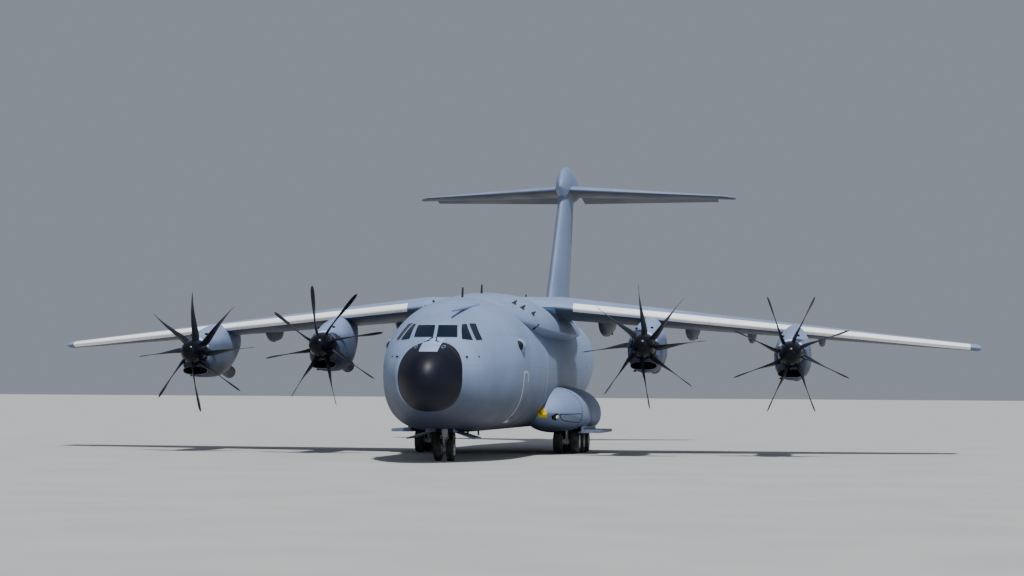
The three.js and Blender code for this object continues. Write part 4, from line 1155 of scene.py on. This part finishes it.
class PLANE_OT_wings(Operator):
    """Adds the wings with their flaps, ailerons, hinge fairings and root fairing"""

    bl_idname = "plane.wings"
    bl_label = "Wings"

    def execute(self, context):
        form = wing.form(WING[0][0] + 1, tip_length=260, thin=0.35, back=0.15)
        aileron, aileron_room = control_surface(wing, form.copy(), AILERON, 0.215)
        with_pods = shaped(form, (JOIN, *[self.pod(*row) for row in FAIRINGS]))
        knuckle = FLAP["knuckle"]
        fixed = shaped(
            with_pods.copy(), (CUT, behind_flap_hinge(FLAP_ROOM, RUNNING_GAP), aileron_room),
            (CUT, *[self.knuckle(x, half + 28, knuckle + 4) for x, half, _ in FAIRINGS]),
        )
        flap = shaped(
            with_pods, (KEEP, behind_flap_hinge(FLAP["x"], 0)),
            (JOIN, *[self.knuckle(x, half * 0.7, knuckle) for x, half, _ in FAIRINGS]),
        )
        for side, name in SIDES:
            for label, mesh in (("wing", fixed), ("flap", flap), ("aileron", aileron)):
                piece(
                    f"{label}_skin_{name}", on_side(side, mesh), "wing",
                    body="airframe" if label == "wing" else f"{label}_{name}",
                    replaces=[f"{label}_{name}"],
                )
        lines = Smooth(ROOT_FAIRING)
        stations = steps(ROOT_FAIRING[0][0], ROOT_FAIRING[-1][0], 48)
        root = tube([(y, *lines(y)) for y in stations], sides=72, belly=1.5)
        root = biggest(shaped(root, (CUT, fuselage(1, (8800, 29400)))))
        piece("root_fairing_skin", root, replaces=["wing_root_fairing"])
        return {"FINISHED"}

    def pod(self, x, half, size):
        """One hinge fairing: a deep pod under the wing."""
        _, hinge_y, hinge_z = flap_hinge(x)
        top = wing.middle(x, FLAP["along"]).z / SCALE
        depth = top - hinge_z + FLAP["knuckle"]
        lines = Smooth(POD)
        rows = []
        for aft in steps(POD[0][0], POD[-1][0], 24):
            share, down = lines(aft)
            y = hinge_y + aft * size
            rows.append((y, share * half, top + 30, top - 60, top - down * depth))
        return tube(rows, x=x, sides=32, belly=2.5)

    def knuckle(self, x, half, r):
        return rod(flap_hinge(x - half), flap_hinge(x + half), r, sides=24)


class PLANE_OT_tail(Operator):
    """Adds the fin, rudder, tailplane with its bullet fairing, and the elevators"""

    bl_idname = "plane.tail"
    bl_label = "Tail"

    def execute(self, context):
        form = fin.form(FIN[0][0])
        rudder, rudder_room = control_surface(fin, form.copy(), RUDDER, 0.25)
        fixed = biggest(shaped(form, (CUT, rudder_room)))
        piece("fin_skin", fixed, "fin", replaces=["fin"])
        piece("rudder_skin", rudder, "fin", body="rudder", replaces=["rudder"])
        half = tailplane.form(0, tip_length=600, thin=0.35, back=0.7)
        elevator, room = control_surface(
            tailplane, half.copy(), ELEVATOR, 0.25, (12000, 14500)
        )
        inner, outer = [
            at(*hinge_point(tailplane, ELEVATOR["along"], x)) for x in ELEVATOR["x"]
        ]
        elevator = turned_about(elevator, outer, inner, ELEVATOR["droop"])
        fixed = shaped(half, (CUT, room))
        lines = Smooth(BULLET)
        front, length = BULLET[0][0], BULLET[-1][0] - BULLET[0][0]
        stations = [front + length * (k / 40) ** 1.6 for k in range(41)]
        bullet = tube([(y, *lines(y)) for y in stations], sides=48, belly=2)
        whole = shaped(bullet, (JOIN, fixed, on_side(-1, fixed)))
        piece("tailplane_skin", whole, "tail", replaces=["tailplane"])
        for side, name in SIDES:
            body = f"elevator_{name}"
            mesh = on_side(side, elevator)
            piece(f"elevator_skin_{name}", mesh, "tail", body=body, replaces=[body])
        return {"FINISHED"}


def nacelle_form(x, disc, axis, stretch, grow=0):
    """One nacelle's form, grown or shrunk by an offset."""
    lines = Smooth(NACELLE)
    front = [NACELLE_FRONT, 243, 247, 252, 270, 300, 350, 400, NACELLE_COLLAR]
    behind_collar = NACELLE_TAIL * stretch - NACELLE_COLLAR
    rows = []
    for aft in front + steps(560, NACELLE_TAIL, 34):
        half, top, widest, foot = lines(aft)
        y = disc + aft - (grow if aft == NACELLE_FRONT else 0)
        if aft > NACELLE_COLLAR:
            share = (aft - NACELLE_COLLAR) / (NACELLE_TAIL - NACELLE_COLLAR)
            y = disc + NACELLE_COLLAR + share * behind_collar
        if half + grow > 40:
            rows.append((y, half + grow, axis + top + grow, axis + widest, axis + foot - grow))
    return tube(rows, x=x, sides=64, belly=2.4)


def chin(rows, x, disc, axis, more=0):
    """A flat duct under the axis. Rows hold the distance aft, half width, top and foot."""
    hoops = [
        (disc + aft, half + more, axis + top + more, axis + (top + foot) / 2, axis + foot - more)
        for aft, half, top, foot in rows
    ]
    return tube(hoops, x=x, sides=48, belly=2.6)


class PLANE_OT_nacelles(Operator):
    """Adds the four nacelles with their chin intakes and exhausts"""

    bl_idname = "plane.nacelles"
    bl_label = "Nacelles"

    def execute(self, context):
        for name, x, disc, axis, _, _, _, stretch in ENGINES:
            (aft0, up0), (aft1, up1), r = EXHAUST
            start = (x, disc + aft0 * stretch, axis + up0)
            end = (x, disc + aft1 * stretch, axis + up1)
            beyond = tuple(e + (e - s) * 0.05 for s, e in zip(start, end))
            mouth = [
                (100, 565, -620, -990), (260, 550, -630, -985), (500, 520, -620, -990),
                (1200, 380, -560, -1010),
            ]
            flap_room = behind_flap_hinge(FLAP_ROOM, RUNNING_GAP)
            shell = shaped(
                nacelle_form(x, disc, axis, stretch),
                (JOIN, rod(start, end, r)),
                (CUT, nacelle_form(x, disc, axis, stretch, -60), chin(mouth, x, disc, axis)),
                (CUT, rod(start, beyond, r - 40)),
                (CUT, rod((x, disc + 150, axis), (x, disc + 480, axis), 540, sides=64)),
                (CUT, on_side(1 if x > 0 else -1, flap_room)),
            )
            piece(
                f"nacelle_skin_{name}", biggest(shell), "nacelle", replaces=[f"nacelle_{name}"]
            )
            self.mouth_lining(name, x, disc, axis)
            self.scoops(name, x, disc, axis)
        return {"FINISHED"}

    def mouth_lining(self, name, x, disc, axis):
        """A dark duct behind the chin intake, its lip and the dark ring round the hub."""
        outer, inner = [
            chin(
                [
                    (start, 550, -630, -985), (240 + start, 520, -620, -990),
                    (940 + start, 380, -560, -1010),
                ],
                x, disc, axis, more,
            )
            for start, more in ((258, 8), (240, -10))
        ]
        piece(f"intake_duct_{name}", shaped(outer, (CUT, inner)), "dark")
        outer, inner = [
            tube(
                [
                    (disc + aft, 550 + more, axis - 630 + more, axis - 805, axis - 985 - more)
                    for aft, more in rows
                ],
                x=x, sides=48, belly=2.6,
            )
            for rows in (((262, 22), (228, 22), (222, 13)), ((282, -4), (202, -4)))
        ]
        piece(f"intake_lip_{name}", shaped(outer, (CUT, inner)), "seal")
        hub = [(470, 0), (470, 538), (262, 538), (262, 470), (330, 200), (330, 0)]
        piece(f"hub_ring_{name}", turned(hub, (x, disc, axis)), "dark", slot="engine_metal")

    def scoops(self, name, x, disc, axis):
        """Small scoops on top and at the sides of the cowl."""
        parts = []
        for out, up, aft in ((-370, 790, 900), (280, 830, 900), (-480, -1010, 1300)):
            y, z = disc + aft, axis + up
            rows = [
                (y + along, half, z + high, z, z - 60)
                for along, half, high in ((-130, 20, 5), (-60, 60, 26), (120, 55, 20), (240, 8, 2))
            ]
            parts.append(tube(rows, x=x + out, sides=16))
        piece(f"cowl_scoops_{name}", several(*parts), "dark")


class PLANE_OT_propellers(Operator):
    """Adds the four spinners with their eight swept blades"""

    bl_idname = "plane.propellers"
    bl_label = "Propellers"

    def execute(self, context):
        tip, back = SPINNER[0][0], SPINNER[-1][0]
        lines = Smooth([(math.sqrt(aft - tip), r) for aft, r in SPINNER])
        profile = [(t * t + tip, float(lines(t)[0])) for t in steps(0, math.sqrt(back - tip), 36)]
        profile += [(back, 540), (back + 25, 520), (back + 25, 0)]
        for name, x, disc, axis, first, way, pitch, _ in ENGINES:
            spinner = turned(profile, (x, disc, axis), sides=72)
            hub = rod((x, disc + 150, axis), (x, disc + 1000, axis), 120)
            place = Matrix.Translation(at(x, disc, axis))
            blade = self.blade(way, pitch)
            blades = []
            for k in range(BLADES):
                turn = Matrix.Rotation(math.radians(first + k * 360 / BLADES), 4, "Y")
                blades.append(numbered(moved(blade, place @ turn), 1))
            piece(
                f"propeller_skin_{name}", several(spinner, numbered(hub, 2), *blades),
                "spinner", "blade", "steel", slot="blade_black", body=f"propeller_{name}",
                replaces=[f"propeller_{name}"], sharp=40,
            )
        return {"FINISHED"}

    def blade(self, way, pitch):
        """One blade standing up from the middle, with a lens-shaped section."""
        lines = Smooth(BLADE)
        root, tip = BLADE[0][0], BLADE[-1][0]
        loops = []
        for out in sorted(steps(root, tip, 30)[:-1] + [2625, 2645, tip]):
            chord, thick, twist, aft, lean = lines(out)
            if out > 2600:
                chord, thick = chord * max(0.25, (tip + 5 - out) / 65), thick * 0.7
            turn = math.radians(twist + pitch)
            c, s = math.cos(turn), math.sin(turn)
            loop = []
            for k in range(24):
                angle = k / 24 * math.tau
                along = -0.5 * math.cos(angle)
                bulge = (0.5 + along) ** 0.5 * (0.5 - along) * 1.3
                up = math.copysign(bulge, math.sin(angle)) if abs(math.sin(angle)) > 1e-6 else 0
                a, b = along * chord, up * thick
                loop.append(
                    Vector((way * (a * s + b * c + lean), aft + a * c - b * s, out)) * SCALE
                )
            loops.append(loop)
        return loft(loops)


class PLANE_OT_sponsons(Operator):
    """Adds the landing gear housings with their bays, front cap, lamp and panels"""

    bl_idname = "plane.sponsons"
    bl_label = "Landing gear housings"

    def execute(self, context):
        bay = box(MAIN_BAY["x"], MAIN_BAY["y"], (0, MAIN_BAY["roof"]))
        hull = fuselage(1, (13000, 27000))
        skin = biggest(shaped(self.form(0), (CUT, hull.copy(), bay)))
        trim, lamp = self.seams(hull), self.lamp()
        for side, name in SIDES:
            piece(
                f"sponson_skin_{name}", on_side(side, skin), "sponson",
                replaces=[f"sponson_{name}"],
            )
        for side, name in SIDES:
            piece(f"sponson_seams_{name}", on_side(side, trim), "dark")
            piece(f"landing_lamp_{name}", on_side(side, lamp), "lamp", "dark", slot="glazing")
        cap_reach = rod((2470, 13800, 1800), (2470, 14650, 1800), 250, sides=40)
        piece("sponson_cap", shaped(self.form(8), (KEEP, cap_reach)), "cap")
        return {"FINISHED"}

    def form(self, grow):
        """A housing's form, grown or shrunk by an offset."""
        lines = Smooth(SPONSON)
        front, full, rear = (SPONSON[row][0] for row in (0, 3, -1))
        stations = [front + (full - front) * (k / 18) ** 1.8 for k in range(18)]
        stations += steps(full, rear, 28)
        loops = []
        for y in stations:
            x, half, top, widest, foot = lines(y)
            size = half + grow, top + grow, widest, foot - grow
            ahead = grow if y == stations[0] else 0
            loops.append(hoop(y - ahead, *size, x=x, sides=64, belly=2.6))
        return loft(loops)

    def seams(self, hull):
        """Three dark lines round the housing and one round the panel behind its lamp."""
        layer = shaped(self.form(4), (CUT, self.form(-12), hull))
        seams = [
            shaped(layer.copy(), (KEEP, box((2600, 4600), (y, y + 26), (1150, 3100))))
            for y in (16450, 18350, 22600)
        ]
        outer = [(3160, 1775, 110), (3190, 1465, 120), (4600, 1240), (4600, 1800)]
        inner = [(3195, 1745, 85), (3222, 1497, 95), (4600, 1275), (4600, 1768)]
        panel = shaped(
            layer, (KEEP, prism(outer, "y", (13900, 16360))),
            (CUT, prism(inner, "y", (13800, 16330))),
        )
        return several(*seams, panel)

    def lamp(self):
        """A landing lamp: clear glass beside the middle of its dark bezel."""
        r = trim_size("lamp")
        bezel = [(-90, 165, 14, 165), (14, 165, 28, 150)]
        glass = [(-60, r, 40, r), (40, r, 56, r * 0.8), (56, r * 0.8, 64, r * 0.43)]
        way, parts = Vector(LAMP_WAY), []
        for rows, number, shift in ((glass, 0, LAMP_SHIFT), (bezel, 1, (0, 0, 0))):
            middle = Vector(LAMP_PLACE) + Vector(shift)
            for a, r0, b, r1 in rows:
                parts.append(numbered(rod(middle + way * a, middle + way * b, r0, r1), number))
        return several(*parts)


def wheel_pair(spec, y):
    """Two tyres on their hubs, and the axle between them."""
    half, track, x, axle = (spec[key] for key in ("half", "track", "x", "axle"))
    r = spec["r"] * math.cos(math.pi / TYRE_SIDES)
    centre = (x, y, r)
    tyres, hubs = [], []

    def across(side, share):
        """A place along the axle, in half widths from the middle of one side's tyre."""
        return side * (track + share * half)

    for side in (-1, 1):
        wall = TYRE_WALL + [(-a, share) for a, share in reversed(TYRE_WALL[:-3])]
        tread = [(side * track + a * half, share * r) for a, share in wall]
        tread.append((side * track + half * 0.9, 0.52 * r))
        tread.insert(0, (side * track - half * 0.9, 0.52 * r))
        tyres.append(turned(tread, centre, "x", 64))
        face = across(side, 0.72)
        rim = [
            (across(side, -0.9), 0.5 * r), (across(side, 0.98), 0.555 * r),
            (across(side, 1), 0.53 * r), (face, 0.47 * r), (face - side * 30, 0.3 * r),
            (face, 0.22 * r), (across(side, 1.02), 0.2 * r), (across(side, 1.05), 0.1 * r),
            (across(side, 1.05), 0),
        ]
        back = [
            (across(side, -0.9), 0.5 * r), (across(side, -0.95), 0.35 * r),
            (across(side, -1), axle), (across(side, -1), 0),
        ]
        hubs.append(turned(rim, centre, "x", 48))
        hubs.append(turned(back, centre, "x", 48))
        for k in range(8):
            angle = k / 8 * math.tau
            place = y + math.cos(angle) * 0.36 * r, r + math.sin(angle) * 0.36 * r
            bolt = (x + face - side * 25, *place), (x + face + side * 14, *place)
            hubs.append(rod(*bolt, 20, sides=6))
    reach = track + half - 30
    hubs.append(rod((x - reach, y, r), (x + reach, y, r), axle, sides=24))
    return several(*tyres, *[numbered(each, 1) for each in hubs])


class PLANE_OT_wheels(Operator):
    """Adds the twin wheels with their tyres, rims and axles"""

    bl_idname = "plane.wheels"
    bl_label = "Wheels"

    def execute(self, context):
        for row, y in WHEEL_STATIONS.items():
            pair = wheel_pair(MAIN_WHEEL, y)
            for side, name in SIDES:
                place = f"{row}_{name}"
                self.add(f"main_tyres_{place}", on_side(side, pair), f"main_wheels_{place}")
        self.add("nose_tyres", wheel_pair(NOSE_WHEEL, NOSE_WHEEL_STATION), "nose_wheels")
        return {"FINISHED"}

    def add(self, name, mesh, body):
        piece(name, mesh, "tyre", "gear", slot="tyre_rubber", body=body, replaces=[body])


class PLANE_OT_fittings(Operator):
    """Adds the probe, wipers, antennas and sensors"""

    bl_idname = "plane.fittings"
    bl_label = "Fittings"

    def execute(self, context):
        self.probe()
        self.wipers()
        self.antennas()
        self.sensors()
        return {"FINISHED"}

    def probe(self):
        """A tube that swells towards its root, with a nozzle at its tip."""
        tip, root = PROBE
        points = [Vector(tip).lerp(Vector(root), t) for t in steps(0, 1.12, 12)]
        radii = [30, 50, 52, 56, 60, 64, 68, 73, 78, 84, 90, 98, 104]
        lengths = zip(points, points[1:], radii, radii[1:])
        parts = [rod(a, b, r0, r1, sides=28) for a, b, r0, r1 in lengths]
        parts.append(rod(points[0] - (points[1] - points[0]) * 0.02, points[0], 26, 34))
        piece(
            "probe_tube", several(*parts), slot=METAL, replaces=["refuelling_probe"], sharp=30
        )

    def wipers(self):
        """Two parked wipers that fork down from the windscreen's middle post."""
        parts = []
        for side in (-1, 1):
            pivot, elbow = on_nose(side * 70, 2440, 30), on_nose(side * 150, 2150, 45)
            parts.append(rod(on_nose(side * 70, 2440, -40), pivot, 34, 26, sides=16))
            parts.append(rod(pivot, elbow, 18, 14, sides=8))
            parts.append(rod(elbow, on_nose(side * 210, 1900, 30), 13, 10, sides=8))
            blade = on_nose(side * 110, 2060, 20), on_nose(side * 290, 1840, 20)
            parts.append(rod(*blade, 16, sides=6))
        piece("wipers", several(*parts), "dark", slot=METAL)

    def antennas(self):
        """Blade antennas along the roof, and two smaller ones under the belly."""
        tall = trim_size("antenna")
        outlines = [
            [(y, z - 60), (y + 420, z - 60), (y + 430, z + tall), (y + 190, z + tall)]
            for y, z in ((8250, 6530), (12900, 6850), (25500, 6920))
        ]
        outlines.append([(9700, 1120), (10150, 1120), (10200, 820), (9950, 820)])
        outlines.append([(12300, 1120), (12700, 1120), (12720, 860), (12500, 860)])
        parts = [prism(outline, "x", (-14, 14)) for outline in outlines]
        piece("antennas", several(*parts), "dark")

    def sensors(self):
        """A turret on each cheek, small vanes ahead of the wing and air data ports."""
        r = trim_size("dome")
        dome, eye = [
            turned([(a * r, share * r) for a, share in row], DOME_PLACE, sides=32)
            for row in (DOME, DOME_EYE)
        ]
        dark = [eye]
        # Partly painted shade: the near-black vanes stand for small antennas together with the
        # shade they cast beside them.
        for x, y, z in VANES:
            out = Vector((x, 0, z - VANE_ROOT_HEIGHT)).normalized()
            root, tip = Vector((x, y, z)) - out * 70, Vector((x, y + 160, z)) + out * 230
            dark.append(rod(root, tip, 150, 20, sides=3))
        dark.append(rod((1250, 2000, 4010), (1390, 1930, 4040), 34, sides=20))
        dark.append(rod((1600, 2740, 4030), (1700, 2690, 4050), 34, sides=20))
        for side, name in SIDES:
            piece(f"sensor_dome_{name}", on_side(side, dome))
            eyes = on_side(side, several(*dark))
            piece(f"sensor_eyes_{name}", eyes, "dark", slot="glazing")


class PLANE_OT_cockpit(Operator):
    """Replaces the plain seats with frames and padded cushions"""

    bl_idname = "plane.cockpit"
    bl_label = "Cockpit seats"

    def execute(self, context):
        frames = []
        back = [(4420, 3560), (4560, 3560), (4640, 4700), (4560, 4720)]
        for side, name in SIDES:
            x = side * 620
            frames.append(box((x - 230, x + 230), (4080, 4400), (3310, 3560)))
            frames.append(prism(back, "x", (x - 220, x + 220)))
            self.cushion(f"seat_base_{name}", (x, 4180, 3690), (250, 270, 80))
            self.cushion(f"seat_back_{name}", (x, 4440, 4180), (240, 70, 380), -7)
            self.cushion(f"seat_head_{name}", (x, 4530, 4690), (150, 55, 110))
        piece(
            "seat_frames", several(*frames), "dark", slot="cabin_lining",
            replaces=["pilot_seats"],
        )
        return {"FINISHED"}

    def cushion(self, name, place, size, lean=0):
        """A crowned pad whose corners draw in."""
        bm = bmesh.new()
        bmesh.ops.create_cube(bm, size=2)
        bmesh.ops.subdivide_edges(bm, edges=bm.edges[:], cuts=3, use_grid_fill=True)
        for vert in bm.verts:
            vert.co = vert.co.lerp(vert.co.normalized() * 1.25, 0.35)
        bmesh.ops.scale(bm, vec=[s * SCALE for s in size], verts=bm.verts)
        turn = Matrix.Rotation(math.radians(lean), 3, "X")
        bmesh.ops.rotate(bm, matrix=turn, verts=bm.verts)
        bmesh.ops.translate(bm, vec=at(*place), verts=bm.verts)
        made = piece(name, as_mesh(bm), "seat", slot="seat_cover", sharp=180)
        rounding = made.modifiers.new("rounding", "SUBSURF")
        rounding.levels = rounding.render_levels = 2


class PLANE_OT_kept(Operator):
    """Gives the solids that stay in view their finishes"""

    bl_idname = "plane.kept"
    bl_label = "Finishes of the kept solids"

    def execute(self, context):
        by_word = [
            ("wing_centre_box", "airframe"), ("cargo_floor", "lining"), ("cockpit_deck", "lining"),
            ("instrument_panel", "dark"), ("engine_", "engine"), ("gear_door", "gear_door"),
            ("main_gear_legs", "gear"), ("nose_gear", "gear"),
        ]
        for name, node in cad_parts.items():
            chosen = next((kind for word, kind in by_word if word in name), "airframe")
            for slot in node.material_slots:
                slot.material = finish(chosen)
        return {"FINISHED"}


class PLANE_OT_stage(Operator):
    """Adds the floor, the lights and the camera"""

    bl_idname = "plane.stage"
    bl_label = "Stage"

    def execute(self, context):
        scene = context.scene
        settings = scene.plane_stage
        bm = bmesh.new()
        bmesh.ops.create_grid(bm, x_segments=1, y_segments=1, size=400)
        floor = bpy.data.objects.new("floor", as_mesh(bm))
        floor.data.materials.append(
            plain("floor_finish", tuple(settings.floor), 0.8, spots=(0.5, 0.03), bump=(30, 0.02))
        )
        scene.collection.objects.link(floor)
        world = bpy.data.worlds.new("studio")
        world.use_nodes = True
        back = world.node_tree.nodes["Background"]
        back.inputs["Color"].default_value = (0.78, 0.86, 1.0, 1)
        back.inputs["Strength"].default_value = settings.sky
        scene.world = world
        self.sun("key", (9, -20, 42), settings.key, 0.05)
        self.sun("fill", (30, -30, 16), settings.key * 0.06, 0.6)
        camera = bpy.data.cameras.new("camera")
        camera.sensor_width, camera.lens = 36, 2448 / 1024 * 36
        camera.clip_start, camera.clip_end = 1, 2000
        holder = bpy.data.objects.new("camera", camera)
        scene.collection.objects.link(holder)
        yaw, pitch, roll = (math.radians(degrees) for degrees in (8.93, 2.39, 0.35))
        turn = (
            Matrix.Rotation(yaw, 4, "Z")
            @ Matrix.Rotation(math.pi / 2 + pitch, 4, "X")
            @ Matrix.Rotation(roll, 4, "Z")
        )
        holder.matrix_world = Matrix.Translation((8.725, -56.065, 1.39)) @ turn
        scene.camera = holder
        return {"FINISHED"}

    def sun(self, name, place, strength, angle):
        """A distant light that shines from a place towards the middle."""
        data = bpy.data.lights.new(name, "SUN")
        data.energy, data.angle = strength, angle
        lamp = bpy.data.objects.new(name, data)
        bpy.context.scene.collection.objects.link(lamp)
        turn = Vector((0, 0, 1)).rotation_difference(Vector(place)).to_matrix().to_4x4()
        lamp.matrix_world = Matrix.Translation(place) @ turn


class PLANE_PT_panel(Panel):
    """Lists the plane's pieces and settings"""

    bl_idname = "PLANE_PT_panel"
    bl_label = "Transport plane"
    bl_space_type = "VIEW_3D"
    bl_region_type = "UI"
    bl_category = "Transport plane"

    def draw(self, context):
        for operator in OPERATORS:
            self.layout.operator(operator.bl_idname)
        for name, kind in SETTINGS.items():
            for each in kind.__annotations__:
                self.layout.prop(getattr(context.scene, name), each)


OPERATORS = (
    PLANE_OT_stage,
    PLANE_OT_kept,
    PLANE_OT_fuselage,
    PLANE_OT_doors,
    PLANE_OT_glazing,
    PLANE_OT_wings,
    PLANE_OT_tail,
    PLANE_OT_nacelles,
    PLANE_OT_propellers,
    PLANE_OT_sponsons,
    PLANE_OT_wheels,
    PLANE_OT_fittings,
    PLANE_OT_cockpit,
)
SETTINGS = {"plane_sizes": PlaneSizes, "plane_paint": PlanePaint, "plane_stage": PlaneStage}
CLASSES = (*SETTINGS.values(), *OPERATORS, PLANE_PT_panel)


def register():
    for each in CLASSES:
        bpy.utils.register_class(each)
    for name, kind in SETTINGS.items():
        setattr(bpy.types.Scene, name, PointerProperty(type=kind))


def unregister():
    for name in SETTINGS:
        delattr(bpy.types.Scene, name)
    for each in reversed(CLASSES):
        bpy.utils.unregister_class(each)


def main():
    register()
    for operator in OPERATORS:
        group, name = operator.bl_idname.split(".")
        getattr(getattr(bpy.ops, group), name)()


if __name__ == "__main__":
    main()
